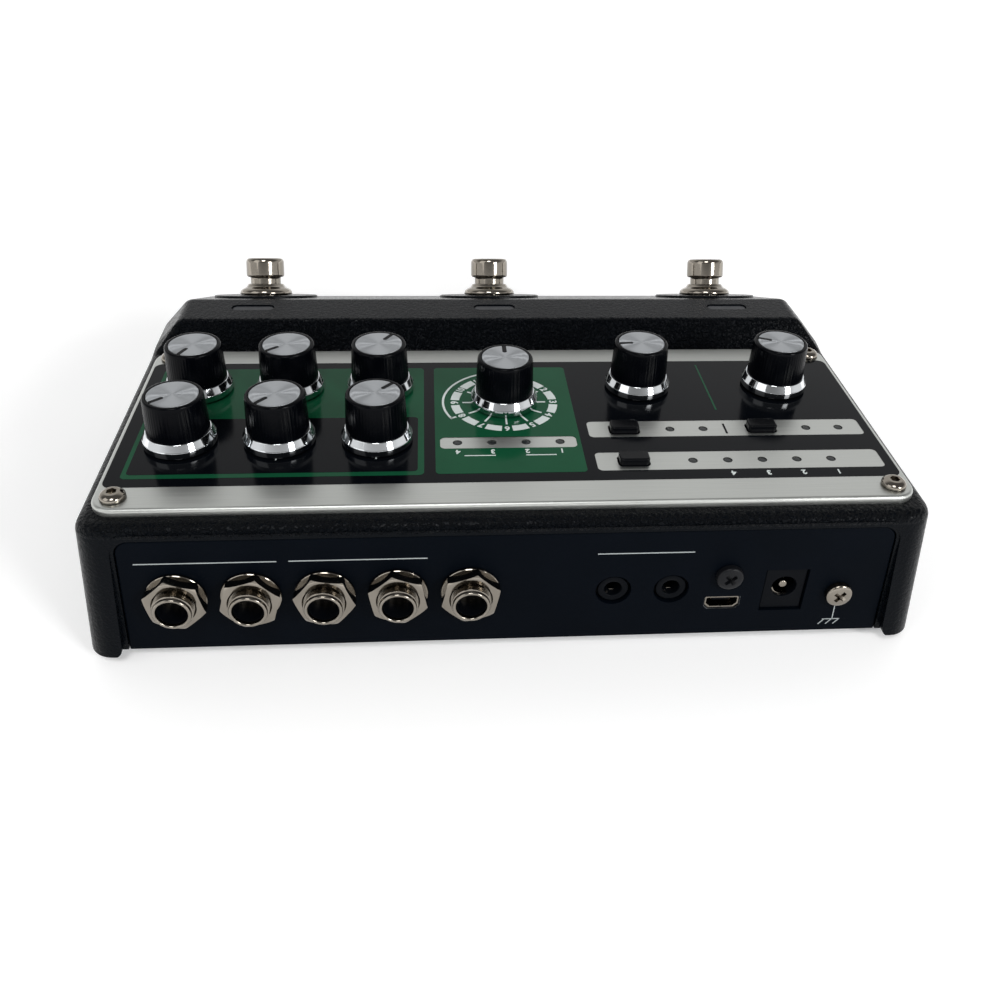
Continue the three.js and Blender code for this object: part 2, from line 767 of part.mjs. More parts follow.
function knobRing(radius, ribDepth) {
  return Array.from({ length: 2 * knobRibs }, (_, i) => {
    const angle = Math.PI * i / knobRibs;
    const reach = radius - (i % 2) * ribDepth;
    return new THREE.Vector2(reach * Math.cos(angle), reach * Math.sin(angle));
  });
}

function makeKnobBody() {
  const ribTop = knobHeight - knobRimHeight;
  const body = stacked([
    [skirtRimTop, knobRing(knobFootRadius, knobRibDepth)],
    [ribTop, knobRing(knobTopRadius, knobRibDepth)],
    [knobHeight, knobRing(knobTopRadius - knobRimHeight, 0)],
  ]);
  const skirt = turned([
    [0, skirtFoot], [skirtRadius, skirtFoot], [skirtRadius, skirtRimTop],
    [skirtTopRadius, skirtTop], [0, skirtTop],
  ], roundSides);
  const hollow = rod(knobFootRadius - skirtWall, skirtFoot - overrun, skirtTop, fewSides);
  const shaft = rod(shaftRadius, -(panelTop - potTop) - potHeight / 2, skirtTop + overrun, fewSides);
  const capSeat = rod(knobCapRadius + touchGap, knobHeight - knobCapThickness - touchGap,
    knobHeight + overrun, roundSides);
  return cut(join(cut(join(body, skirt), hollow), shaft), capSeat);
}

// The cap's disc with the slot that points, toward the rear at a turn of 0
function makeKnobCap() {
  const disc = rod(knobCapRadius, knobHeight - knobCapThickness, knobHeight, roundSides);
  const slotLength = knobCapRadius + overrun - pointerStart;
  const slot = block(0, pointerStart + slotLength / 2, knobHeight - knobCapThickness - overrun, pointerWidth,
    slotLength, knobCapThickness + 2 * overrun);
  return cut(disc, slot);
}

// Control board: pot bodies with their threaded bushes, and the small switches under the buttons
function makeControlBoard() {
  const rear = Math.max(...knobs.map((k) => k.y)) + potSize / 2 + boardMargin;
  const buttonRear = Math.max(...buttons.map((b) => b.y)) + switchSize;
  const front = Math.min(...knobs.map((k) => k.y)) - potSize / 2 - boardMargin;
  const right = Math.max(...knobs.map((k) => k.x)) + potSize / 2 + boardMargin;
  const board = block(0, (Math.max(rear, buttonRear) + front) / 2, boardTop - boardThickness,
    2 * right, Math.max(rear, buttonRear) - front, boardThickness);
  const pot = join(
    block(0, 0, boardTop - boardThickness / 2, potSize, potSize, potHeight + boardThickness / 2),
    rod(bushRadius, boardTop, panelTop + bushReach, fewSides),
  );
  const boreTop = panelTop + bushReach + overrun;
  const bore = rod(shaftRadius + runningGap, boardTop + potHeight / 4, boreTop, fewSides);
  const hollowPot = cut(pot, bore);
  const pots = knobs.map(({ x, y }) => at(hollowPot, x, y, 0));
  const switches = buttons.map(({ x, y }) => (
    block(x, y, boardTop - boardThickness / 2, switchSize, switchSize,
      switchTop - boardTop + boardThickness / 2)
  ));
  return piece('control_board', join(board, ...pots, ...switches), 'board');
}

// Small buttons: cap above the panel, flange inside the deck's window, stem to its switch

const guideTop = deckUnderside - seatGap;
const guideBottom = guideTop - guideThickness;
const switchTop = boardTop + potHeight / 3;
const stemBottom = switchTop + buttonTravel + seatGap;

function makeButton() {
  const flangeTop = deckHeight - seatGap;
  const flangeBottom = flangeTop - buttonFlange;
  const cap = stacked([
    [flangeBottom, buttonOutline(0)],
    [panelTop, buttonOutline(0)],
    [panelTop + buttonReach - buttonTaper, buttonOutline(buttonTaper / 2)],
    [panelTop + buttonReach, buttonOutline(buttonTaper)],
  ]);
  const flange = block(0, 0, flangeBottom, buttonWidth + 2 * buttonFlange, buttonDepth + buttonFlange,
    buttonFlange);
  const stem = block(0, 0, stemBottom, stemWidth, stemDepth, flangeBottom - stemBottom + buttonFlange / 2);
  return join(cap, flange, stem);
}

// Light guides

function makePanelLightGuide() {
  const rearY = rearLamps.at(0).y + windowMargin;
  const frontY = frontLamps.at(0).y - windowMargin;
  const fromX = headLamps.at(0).x + windowMargin;
  const toX = frontLamps.at(-1).x - windowMargin;
  const sheet = block((fromX + toX) / 2, (rearY + frontY) / 2, guideBottom, fromX - toX, rearY - frontY,
    guideThickness);
  const pins = lamps.map(({ x, y }) => (
    at(rod(lampRadius, guideBottom + guideThickness / 2, panelTop - lampRecess, leastSides), x, y, 0)
  ));
  const stemHoles = buttons.map(({ x, y }) => (
    block(x, y, guideBottom - overrun, stemWidth + 2 * runningGap, stemDepth + 2 * runningGap,
      guideThickness + 2 * overrun)
  ));
  return piece('panel_light_guide', join(cut(sheet, ...stemHoles), ...pins), 'lampGrey');
}

function makeHumpLightGuide() {
  const barTop = humpUnderside - seatGap;
  const barLength = 2 * Math.max(...footswitches.map(({ x }) => x)) + humpWindowLength;
  const bar = block(0, humpWindowY, barTop - humpGuideThickness, barLength, humpGuideWidth, humpGuideThickness);
  const windows = footswitches.map(({ x }) => (
    at(prism(humpWindowOutline(closeGap), barTop - humpGuideThickness / 2, humpHeight - humpWindowRecess),
      x, humpWindowY, 0)
  ));
  return piece('hump_light_guide', join(bar, ...windows), 'lampGrey');
}

// Footswitches: z = 0 is the deck's surface under the seat

const switchFoot = -(caseWall + seatGap + switchBodyDepth);

function makeFootswitch() {
  const nutFoot = seatRise + closeGap;
  const nutTop = seatRise + nutHeight;
  const upper = turned([
    [0, -(caseWall + seatGap + switchBodyDepth / 2)],
    [switchBushRadius, -(caseWall + seatGap + switchBodyDepth / 2)],
    [switchBushRadius, nutFoot],
    [nutFootRadius, nutFoot],
    [nutFootRadius, nutFoot + nutFootHeight],
    [THREE.MathUtils.lerp(nutFootRadius, nutTopRadius, nutWaistShare),
      nutFoot + nutFootHeight + nutHeight * nutWaistRiseShare],
    [nutTopRadius, nutTop],
    [0, nutTop],
  ], roundSides);
  const body = block(0, 0, switchFoot, switchBodySize, switchBodySize, switchBodyDepth);
  const bore = rod(neckRadius + runningGap, switchFoot / 2 - 2 * footTravel, nutTop + overrun, someSides);
  return cut(join(body, upper), bore);
}

function makeFootswitchButton() {
  const capBottom = seatRise + footCapBottom;
  const capTop = seatRise + footCapTop;
  const grooveTop = capBottom - neckGrooveWidth;
  return turned([
    [0, switchFoot / 2],
    [neckRadius, switchFoot / 2],
    [neckRadius, grooveTop - neckGrooveWidth],
    [neckRadius - neckGrooveDepth, grooveTop - neckGrooveWidth],
    [neckRadius - neckGrooveDepth, grooveTop],
    [neckRadius, grooveTop],
    [neckRadius, capBottom],
    [footCapRadius, capBottom],
    [footCapRadius, capTop - footCapEdge],
    [footCapRadius - footCapEdge * footCapEdgeShare, capTop - footCapEdge * footCapEdgeShare],
    [footCapRadius - footCapEdge, capTop],
    [0, capTop],
  ], someSides);
}

// Large sockets: a bush through the rear panel and a body on the socket board

function makeJack() {
  const bodyFront = -(rearPanelThickness + seatGap);
  const body = block(0, bodyFront - jackBodyDepth / 2, socketSeat - jackHeight, jackBodyWidth, jackBodyDepth,
    jackBodyHeight);
  const bush = rearRod(jackBushRadius, bodyFront - overrun, jackReach, roundSides);
  const bore = rearRod(jackBore / 2, bodyFront - jackBodyDepth + jackEndWall, jackReach + overrun, roundSides);
  return cut(join(body, bush), bore);
}

function makeJackNut() {
  const washerBack = touchGap;
  const nutBack = washerBack + washerThickness;
  const nutFront = nutBack + nutThickness;
  const corner = nutAcrossFlats / 2 / Math.cos(Math.PI / nutSides);
  const ring = (reachAt) => Array.from({ length: 2 * nutSides }, (_, i) => (
    new THREE.Vector2(reachAt(i)).rotateAround(new THREE.Vector2(), Math.PI / nutSides * i)
  ));
  const hexagon = ring((i) => (i % 2 === 0 ? corner : nutAcrossFlats / 2));
  const crown = ring(() => nutAcrossFlats / 2);
  const nut = stacked([[nutBack, hexagon], [nutFront - nutChamfer, hexagon], [nutFront, crown]])
    .rotateX(-Math.PI / 2);
  const washer = rearRod(washerRadius, washerBack, nutBack, roundSides);
  const bore = rearRod(jackBushRadius + seatGap, washerBack - overrun, nutFront + overrun, someSides);
  return cut(join(nut, washer), bore);
}

// Small sockets

function makeMiniJack() {
  const bodyFront = -(rearPanelThickness + seatGap);
  const foot = socketSeat - miniJackPlaces.at(0).z;
  const body = block(0, bodyFront - miniJackDepth / 2, foot, miniJackWidth, miniJackDepth,
    miniJackRadius - foot);
  const nozzle = rearRod(miniJackRadius, bodyFront - overrun, 0, roundSides);
  const bore = rearRod(miniJackBore / 2, bodyFront - miniJackDepth + jackEndWall, overrun, someSides);
  return cut(join(body, nozzle), bore);
}

function dataOutline(inset) {
  const half = dataWidth / 2 - inset;
  const top = dataTall / 2 - inset;
  return filleted([
    [half - dataTaper, -top], [half, -top + dataTaper], [half, top, leastRadius],
    [-half, top, leastRadius], [-half, -top + dataTaper], [-half + dataTaper, -top],
  ], true);
}

function makeDataSocket() {
  const back = -dataDepth;
  const shell = rearPrism(dataOutline(0), back, 0);
  const hollow = rearPrism(dataOutline(dataShell), back + dataShell, overrun);
  const tongueLength = dataDepth - 2 * dataShell;
  const tongue = block(0, back + tongueLength / 2 + dataShell / 2, dataTongue / 4, dataTongueWidth,
    tongueLength, dataTongue);
  const foot = socketSeat - dataPlace.z;
  const plinthDepth = dataDepth - rearPanelThickness - seatGap;
  const plinth = block(0, back + plinthDepth / 2, foot, dataTongueWidth, plinthDepth,
    -dataTall / 2 - foot + dataShell / 2);
  return join(cut(shell, hollow), tongue, plinth);
}

function makePowerSocket() {
  const foot = socketSeat - powerPlace.z;
  const bodyFront = -(rearPanelThickness + seatGap);
  const bodyTop = powerTall / 2;
  const front = block(0, (bodyFront - powerRecess) / 2 - overrun / 2, -powerTall / 2, powerWidth,
    -bodyFront - powerRecess + overrun, powerTall);
  const body = block(0, bodyFront - powerDepth / 2, foot, powerWidth, powerDepth, bodyTop - foot);
  const boreEnd = bodyFront - powerDepth + jackEndWall;
  const bore = at(rearRod(powerBore / 2, boreEnd, overrun, roundSides), 0, 0, powerBoreRise);
  const pin = at(rearRod(powerPin / 2, boreEnd - jackEndWall / 2, -powerPinSetback, fewSides), 0, 0,
    powerBoreRise);
  return join(cut(join(front, body), bore), pin);
}

// Screws

function makePanelScrew() {
  const headFoot = panelTop + touchGap;
  const screw = turned([
    [0, deckHeight - screwShankLength + overrun],
    [screwShankRadius, deckHeight - screwShankLength + overrun],
    [screwShankRadius, headFoot],
    [panelHeadRadius, headFoot],
    [panelHeadRadius * panelHeadShoulderShare, headFoot + panelHeadHeight * panelHeadShoulderRiseShare],
    [panelHeadRadius * panelHeadTopShare, headFoot + panelHeadHeight],
    [0, headFoot + panelHeadHeight],
  ], someSides);
  const headTop = headFoot + panelHeadHeight;
  return cut(screw, rod(hexSocketRadius, headTop - hexSocketDepth, headTop + overrun, leastSides));
}

function makeRearScrew(length) {
  const headBack = touchGap;
  const headTop = headBack + rearHeadHeight;
  const screw = turnedRear([
    [0, -length],
    [screwShankRadius, -length],
    [screwShankRadius, headBack],
    [rearHeadRadius, headBack],
    [rearHeadRadius, headBack + rearHeadHeight * rearHeadRimShare],
    [rearHeadRadius * rearHeadTopShare, headTop],
    [0, headTop],
  ], someSides);
  const slot = block(0, headTop, -crossWidth / 2, crossLength, 2 * crossDepth, crossWidth);
  const crossed = [crossAngle, crossAngle + rightAngle].map((angle) => slot.clone().rotateY(radians(angle)));
  return cut(screw, ...crossed);
}

// Socket board with the bracket behind the black screw, cut back round the sockets that stand in its edge
function makeSocketBoard() {
  const front = -(rearPanelThickness + flangeDepth / 2);
  const halfWidth = openingHalfFoot - pillarWidth;
  const board = block(0, front - socketBoardDepth / 2, socketBoardTop - boardThickness, 2 * halfWidth,
    socketBoardDepth, boardThickness);
  const bracketTop = bracketScrewPlace.z + bracketWidth / 2;
  const bracketFront = -(dataDepth + seatGap);
  const bracketFoot = socketBoardTop - boardThickness / 2;
  const bracket = block(bracketScrewPlace.x, bracketFront - bracketDepth / 2, bracketFoot,
    bracketWidth, bracketDepth, bracketTop - bracketFoot);
  const tapped = at(rearRod(screwShankRadius + seatGap, bracketFront - bracketDepth + jackEndWall,
    overrun, fewSides), bracketScrewPlace.x, 0, bracketScrewPlace.z);
  return piece('socket_board', cut(join(board, bracket), tapped), 'board');
}

function makeFoot() {
  return turned([
    [0, -footHeight], [footRadius - footTaper, -footHeight], [footRadius, coverLift - touchGap - footTaper],
    [footRadius, coverLift - touchGap], [0, coverLift - touchGap],
  ], roundSides);
}

// Assembly

function makeAssembly() {
  const unit = new THREE.Group();
  unit.add(makeCase(), makeControlPanel(), makeRearPanel(), makeBottomCover());
  unit.add(makeControlBoard(), makeSocketBoard(), makePanelLightGuide(), makeHumpLightGuide());

  const knobBody = makeKnobBody();
  const knobCap = makeKnobCap();
  knobs.forEach(({ name, x, y }, i) => {
    const knob = new THREE.Group();
    knob.add(piece(name, knobBody, 'knobBlack'), piece(`${name}_cap`, knobCap, 'spunSilver'));
    knob.position.set(x, y, panelTop);
    knob.rotation.z = -radians(pointerAngles[i]);
    unit.add(knob);
  });

  const button = makeButton();
  for (const { name, x, y } of buttons) {
    const mesh = piece(name, button, 'blackPlastic');
    mesh.position.set(x, y, 0);
    unit.add(mesh);
  }

  const footswitch = makeFootswitch();
  const footswitchButton = makeFootswitchButton();
  for (const { side, x } of footswitches) {
    const group = new THREE.Group();
    group.add(piece(`footswitch_${side}`, footswitch, 'nickel'));
    group.add(piece(`footswitch_button_${side}`, footswitchButton, 'nickel'));
    group.position.set(x, footswitchY, footswitchZ);
    group.rotation.x = slopeAngle;
    unit.add(group);
  }

  const jack = makeJack();
  const jackNut = makeJackNut();
  jacks.forEach(({ x, z }, i) => {
    const socket = piece(`jack_${i + 1}`, jack, 'nickel');
    const nut = piece(`jack_nut_${i + 1}`, jackNut, 'nickel');
    socket.position.set(x, 0, z);
    nut.position.set(x, 0, z);
    nut.rotation.y = radians(nutAngles[i]);
    unit.add(socket, nut);
  });

  const miniJack = makeMiniJack();
  miniJackPlaces.forEach(({ x, z }, i) => {
    const socket = piece(`mini_jack_${i + 1}`, miniJack, 'blackPlastic');
    socket.position.set(x, 0, z);
    unit.add(socket);
  });
  const dataSocket = piece('data_socket', makeDataSocket(), 'zincSteel');
  dataSocket.position.set(dataPlace.x, 0, dataPlace.z);
  const powerSocket = piece('power_socket', makePowerSocket(), 'blackPlastic');
  powerSocket.position.set(powerPlace.x, 0, powerPlace.z);
  const bracketScrew = piece('bracket_screw', makeRearScrew(dataDepth + bracketDepth / 2), 'blackPlastic');
  bracketScrew.position.set(bracketScrewPlace.x, 0, bracketScrewPlace.z);
  const groundScrew = piece('ground_screw', makeRearScrew(screwShankLength / 2), 'nickel');
  groundScrew.position.set(groundScrewPlace.x, 0, groundScrewPlace.z);
  unit.add(dataSocket, powerSocket, bracketScrew, groundScrew);

  const panelScrew = makePanelScrew();
  for (const { name, x, y } of panelScrews) {
    const screw = piece(name, panelScrew, 'nickel');
    screw.position.set(x, y, 0);
    unit.add(screw);
  }

  const foot = makeFoot();
  for (const [across, side] of [['left', -1], ['right', 1]]) {
    for (const [along, y] of [['rear', rearRimReach - footInset], ['front', footInset - frontRim]]) {
      const mesh = piece(`foot_${along}_${across}`, foot, 'rubber');
      mesh.position.set(side * (caseWidth / 2 - footInset), y, 0);
      unit.add(mesh);
    }
  }
  return unit;
}

// The origin is under the middle of the whole object, on the surface that it stands on
const unit = makeAssembly();
unit.position.set(0, (frontRim - jackReach) / 2, footHeight);

const echoUnit = new THREE.Group();
echoUnit.add(unit);

export default echoUnit;
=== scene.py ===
from math import acos, atan, atan2, ceil, cos, degrees, hypot, pi, radians, sin, sqrt, tan

import bmesh
import bpy
from mathutils import Matrix, Vector


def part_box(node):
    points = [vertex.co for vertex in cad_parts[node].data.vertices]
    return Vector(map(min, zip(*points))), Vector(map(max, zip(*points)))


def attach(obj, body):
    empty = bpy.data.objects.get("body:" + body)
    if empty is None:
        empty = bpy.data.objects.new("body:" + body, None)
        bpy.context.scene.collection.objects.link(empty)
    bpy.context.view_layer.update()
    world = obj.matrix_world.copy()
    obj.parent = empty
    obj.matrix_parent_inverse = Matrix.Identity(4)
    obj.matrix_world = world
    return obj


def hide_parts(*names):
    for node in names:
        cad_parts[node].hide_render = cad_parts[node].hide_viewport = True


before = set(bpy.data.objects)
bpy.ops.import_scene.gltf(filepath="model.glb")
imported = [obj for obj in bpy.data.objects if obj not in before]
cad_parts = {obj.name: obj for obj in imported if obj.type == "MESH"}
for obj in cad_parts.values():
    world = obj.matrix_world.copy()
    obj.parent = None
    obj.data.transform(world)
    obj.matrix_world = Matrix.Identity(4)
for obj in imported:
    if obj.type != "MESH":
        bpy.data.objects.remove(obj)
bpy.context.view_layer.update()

# Lengths are in millimetres until MM turns them into metres. X runs to the player's right, Y to the
# sockets and Z up. A depth is counted from the rear panel's face towards the player.
MM = 0.001
REAR_FACE = 62.4
RIM = 2.8
DECK = 37.15
PANEL_TOP = 39.0


def y_at(depth):
    return REAR_FACE - depth


# Camera: fitted to the edges, knobs and dial of the photographed unit

CAMERA_PLACE = Vector((0.018296, 0.230827, 0.167434))
CAMERA_YAW, CAMERA_PITCH, CAMERA_ROLL = -0.0987, 0.5991, -0.0415
FOCAL_PIXELS, CENTRE_X, CENTRE_Y, PICTURE = 997.64, 513.17, 465.63, 1000
SENSOR_MM = 36


def add_camera():
    level = Vector((sin(CAMERA_YAW), -cos(CAMERA_YAW), 0))
    across = Vector((-cos(CAMERA_YAW), -sin(CAMERA_YAW), 0))
    up = Vector((0, 0, 1))
    forward = cos(CAMERA_PITCH) * level - sin(CAMERA_PITCH) * up
    down = -(cos(CAMERA_PITCH) * up + sin(CAMERA_PITCH) * level)
    right = cos(CAMERA_ROLL) * across + sin(CAMERA_ROLL) * down
    below = -sin(CAMERA_ROLL) * across + cos(CAMERA_ROLL) * down
    data = bpy.data.cameras.new("camera")
    data.sensor_width = SENSOR_MM
    data.lens = SENSOR_MM * FOCAL_PIXELS / PICTURE
    data.shift_x = (PICTURE / 2 - CENTRE_X) / PICTURE
    data.shift_y = (CENTRE_Y - PICTURE / 2) / PICTURE
    data.clip_start = 0.01
    camera = bpy.data.objects.new("camera", data)
    axes = Matrix((right, -below, -forward)).transposed().to_4x4()
    camera.matrix_world = Matrix.Translation(CAMERA_PLACE) @ axes
    bpy.context.scene.collection.objects.link(camera)
    bpy.context.scene.camera = camera


add_camera()


# Materials

def linear(code):
    parts = [int(code[i:i + 2], 16) / 255 for i in (1, 3, 5)]
    return [p / 12.92 if p <= 0.04045 else ((p + 0.055) / 1.055) ** 2.4 for p in parts] + [1]


def new_material(name, **values):
    """A material and its shader, with the shader's plain values by name, such as Coat_Weight."""
    material = bpy.data.materials.new(name)
    material.use_nodes = True
    shader = material.node_tree.nodes["Principled BSDF"]
    for key, value in values.items():
        shader.inputs[key.replace("_", " ")].default_value = value
    return material, shader


def add_node(material, kind, inputs=None, **settings):
    """Adds a node, its settings by name, its inputs by name or number as values or as sockets to link."""
    node = material.node_tree.nodes.new(kind)
    for key, value in settings.items():
        setattr(node, key, value)
    for key, value in (inputs or {}).items():
        if isinstance(value, bpy.types.NodeSocket):
            material.node_tree.links.new(value, node.inputs[key])
        else:
            node.inputs[key].default_value = value
    return node


def link(material, shader, name, socket):
    material.node_tree.links.new(socket, shader.inputs[name])


def noise(material, grain_mm, detail=2, stretch=(1, 1, 1), place=None):
    """Noise whose grains are about grain_mm across, drawn out along an axis where stretch is below 1."""
    place = place or add_node(material, "ShaderNodeTexCoord").outputs["Object"]
    mapping = add_node(material, "ShaderNodeMapping", {"Vector": place, "Scale": stretch})
    values = {"Vector": mapping.outputs[0], "Scale": 1 / (grain_mm * MM), "Detail": detail}
    return add_node(material, "ShaderNodeTexNoise", values).outputs["Fac"]


def ramp(material, value, low, high, to_low=0.0, to_high=1.0):
    values = {"Value": value, "From Min": low, "From Max": high, "To Min": to_low, "To Max": to_high}
    return add_node(material, "ShaderNodeMapRange", values).outputs["Result"]


def spread(material, grain, low, high):
    """Spreads a noise, most of which lies between 0.3 and 0.7, over a range."""
    return ramp(material, grain, 0.3, 0.7, low, high)


def times(material, value, factor):
    return add_node(material, "ShaderNodeMath", {0: value, 1: factor}, operation="MULTIPLY").outputs[0]


def mixed_colour(material, share, first, second):
    mix = add_node(material, "ShaderNodeMix", {"Factor": share}, data_type="RGBA")
    mix.inputs[6].default_value = linear(first)
    mix.inputs[7].default_value = linear(second)
    return mix.outputs[2]


def vary_colour(material, shader, grain_mm, first, second, detail=2, stretch=(1, 1, 1)):
    grain = noise(material, grain_mm, detail, stretch)
    link(material, shader, "Base Color", mixed_colour(material, grain, first, second))


def vary_roughness(material, shader, grain_mm, low, high):
    link(material, shader, "Roughness", spread(material, noise(material, grain_mm, 3), low, high))


def add_bump(material, shader, height, reach_mm, strength=1.0):
    values = {"Height": height, "Distance": reach_mm * MM, "Strength": strength}
    link(material, shader, "Normal", add_node(material, "ShaderNodeBump", values).outputs[0])


# Depth at the hump's ridge, where the coarse wrinkles of the deck and the slope end
COARSE_END = 82.1


def cast_powder_coat():
    # Die-cast aluminium under black powder paint: coarse wrinkles on the deck and the hump's slope,
    # a finer orange peel elsewhere, with small glints where a wrinkle faces the light
    material, shader = new_material("powder_coated_die_casting", Specular_IOR_Level=0.06)
    vary_colour(material, shader, 14, "#030509", "#06090d")
    vary_roughness(material, shader, 1.1, 0.18, 0.34)
    split = add_node(material, "ShaderNodeSeparateXYZ",
                     {"Vector": add_node(material, "ShaderNodeTexCoord").outputs["Object"]})
    before, after = y_at(COARSE_END + 0.5) * MM, y_at(COARSE_END - 0.5) * MM
    behind_ridge = ramp(material, split.outputs["Y"], before, after)
    above_walls = ramp(material, split.outputs["Z"], (DECK - 2.6) * MM, (DECK - 0.8) * MM)
    coarse_zone = times(material, behind_ridge, above_walls)
    wrinkles = ramp(material, noise(material, 0.8, 3), 0.42, 0.6)
    wrinkles = times(material, wrinkles, ramp(material, coarse_zone, 0, 1, 0.04, 1))
    peel = times(material, noise(material, 0.35, 2), 0.07)
    height = add_node(material, "ShaderNodeMath", {0: wrinkles, 1: peel}, operation="ADD").outputs[0]
    add_bump(material, shader, height, 0.7)
    return material


def sheet_powder_coat():
    # Sheet steel, powder-coated smooth satin black: a faint fine peel and nothing else
    material, shader = new_material("powder_coated_sheet_steel", Specular_IOR_Level=0.025)
    vary_colour(material, shader, 12, "#03060b", "#050910")
    vary_roughness(material, shader, 9, 0.42, 0.52)
    add_bump(material, shader, noise(material, 0.35, 2), 0.04, 0.5)
    return material


def brushed_aluminium():
    # Rolled aluminium plate, brushed along its length and clear anodised: long fine streaks
    material, shader = new_material("brushed_anodised_aluminium", Metallic=1)
    streaks = noise(material, 0.3, 4, (0.015, 1, 1))
    link(material, shader, "Base Color", mixed_colour(material, streaks, "#a4a6a3", "#c3c5c1"))
    link(material, shader, "Roughness", spread(material, streaks, 0.32, 0.44))
    add_bump(material, shader, streaks, 0.012, 0.5)
    return material


def enamel_ink(name, darker, colour, gloss):
    # Screen-printed enamel ink on the plate: glossy, so the knobs mirror in it, with a slight unevenness
    material, shader = new_material(name, Specular_IOR_Level=gloss)
    vary_colour(material, shader, 6, darker, colour, 3)
    vary_roughness(material, shader, 4, 0.1, 0.16)
    add_bump(material, shader, noise(material, 1.5, 2), 0.006, 0.3)
    return material


def bright_nickel():
    # Brass turned and nickel-plated: mirror-like and warm grey, a little clouded by handling
    material, shader = new_material("nickel_plated_brass", Metallic=1)
    vary_colour(material, shader, 5, "#7d776e", "#928c83")
    vary_roughness(material, shader, 1.2, 0.1, 0.17)
    add_bump(material, shader, noise(material, 0.5, 2), 0.008, 0.3)
    return material


def chromed_plastic():
    # The knob's skirt: ABS plated with chromium, cleaner and cooler than the nickel
    material, shader = new_material("chromed_abs", Metallic=1)
    vary_colour(material, shader, 6, "#c4c7ca", "#d3d6d8")
    vary_roughness(material, shader, 2, 0.05, 0.1)
    return material


def spun_aluminium():
    # Aluminium disc turned with a fine tool and lacquered: round grooves that draw light into radial fans
    material, shader = new_material("spun_lacquered_aluminium", Metallic=1, Anisotropic=0.96)
    around = add_node(material, "ShaderNodeUVMap", uv_map="turning").outputs[0]
    grooves = noise(material, 1000, 2, (2, 60, 1), around)
    link(material, shader, "Base Color", mixed_colour(material, grooves, "#989b9e", "#b6b9bc"))
    link(material, shader, "Roughness", spread(material, grooves, 0.4, 0.52))
    tangent = add_node(material, "ShaderNodeTangent", direction_type="UV_MAP", uv_map="turning")
    link(material, shader, "Tangent", tangent.outputs[0])
    return material


def moulded_plastic(name, darker, colour, roughness, level, grain_mm=0.5, reach_mm=0.01):
    # Moulded in one colour: slight flow marks, and the fine texture of the mould
    material, shader = new_material(name, Specular_IOR_Level=level)
    vary_colour(material, shader, 5, darker, colour)
    vary_roughness(material, shader, 3, roughness - 0.04, roughness + 0.04)
    add_bump(material, shader, noise(material, grain_mm, 2), reach_mm, 0.4)
    return material


def zinc_plate():
    # Zinc-plated sheet steel: pale grey with soft cloudy spangle
    material, shader = new_material("zinc_plated_steel", Metallic=1)
    vary_colour(material, shader, 7, "#7b7f83", "#9da1a4", 3)
    vary_roughness(material, shader, 3, 0.35, 0.5)
    return material


def circuit_board():
    # Glass-epoxy board under green solder resist: the copper below shows as faint lines
    material, shader = new_material("solder_resist_on_glass_epoxy", Roughness=0.4)
    vary_colour(material, shader, 2.5, "#1b4531", "#28593f", 1, (1, 0.15, 1))
    return material


coat_cast = cast_powder_coat()
coat_sheet = sheet_powder_coat()
plate_metal = brushed_aluminium()
ink_black = enamel_ink("black_enamel_ink", "#05070b", "#080a0e", 0.065)
ink_green = enamel_ink("green_enamel_ink", "#0f442c", "#124b31", 0.065)
ink_white = enamel_ink("white_enamel_ink", "#c3cbc9", "#d2d9d7", 0.065)
# The rear's white print: the white ink darkened to grey, painted shade for the rear face
ink_white_shaded = enamel_ink("white_enamel_ink_painted_shade", "#989e9f", "#a8aeae", 0.065)
nickel = bright_nickel()
chrome = chromed_plastic()
spun = spun_aluminium()
knob_plastic = moulded_plastic("gloss_moulded_phenolic", "#020306", "#040508", 0.2, 0.06)
key_plastic = moulded_plastic("gloss_moulded_abs", "#050609", "#08090c", 0.22, 0.1)
socket_plastic = moulded_plastic("moulded_nylon", "#04060a", "#06080c", 0.4, 0.05)
lamp_plastic = moulded_plastic("smoked_clear_acrylic", "#1e2122", "#282b2c", 0.2, 0.2)
window_plastic = moulded_plastic("smoked_black_acrylic", "#16181d", "#1c1f25", 0.3, 0.2)
foot_rubber = moulded_plastic("moulded_rubber", "#141516", "#1b1c1d", 0.8, 0.2, 0.5, 0.05)
blackened_steel = moulded_plastic("blackened_steel", "#0c0d10", "#131417", 0.35, 0.15)
zinc = zinc_plate()
board_green = circuit_board()


# Ways of shaping

def deselect():
    if bpy.context.object and bpy.context.object.mode != "OBJECT":
        bpy.ops.object.mode_set(mode="OBJECT")
    bpy.ops.object.select_all(action="DESELECT")


def pick(piece):
    deselect()
    bpy.context.view_layer.objects.active = piece
    piece.select_set(True)
    return piece


def edit(piece, mode="VERT"):
    """Opens a piece for editing with nothing selected."""
    pick(piece)
    bpy.ops.object.mode_set(mode="EDIT")
    bpy.ops.mesh.select_mode(type=mode)
    bpy.ops.mesh.select_all(action="DESELECT")


def choose(piece, kind, rule):
    """Selects the vertices, edges or faces of the open piece that a rule on them picks."""
    mesh = bmesh.from_edit_mesh(piece.data)
    for part in getattr(mesh, kind):
        part.select_set(False)
    for part in getattr(mesh, kind):
        if rule(part):
            part.select_set(True)
    mesh.select_flush_mode()
    bmesh.update_edit_mesh(piece.data)


def close_edit():
    bpy.ops.mesh.select_mode(type="VERT")
    bpy.ops.mesh.select_all(action="SELECT")
    bpy.ops.mesh.remove_doubles(threshold=1e-7)
    bpy.ops.mesh.normals_make_consistent(inside=False)
    bpy.ops.object.mode_set(mode="OBJECT")


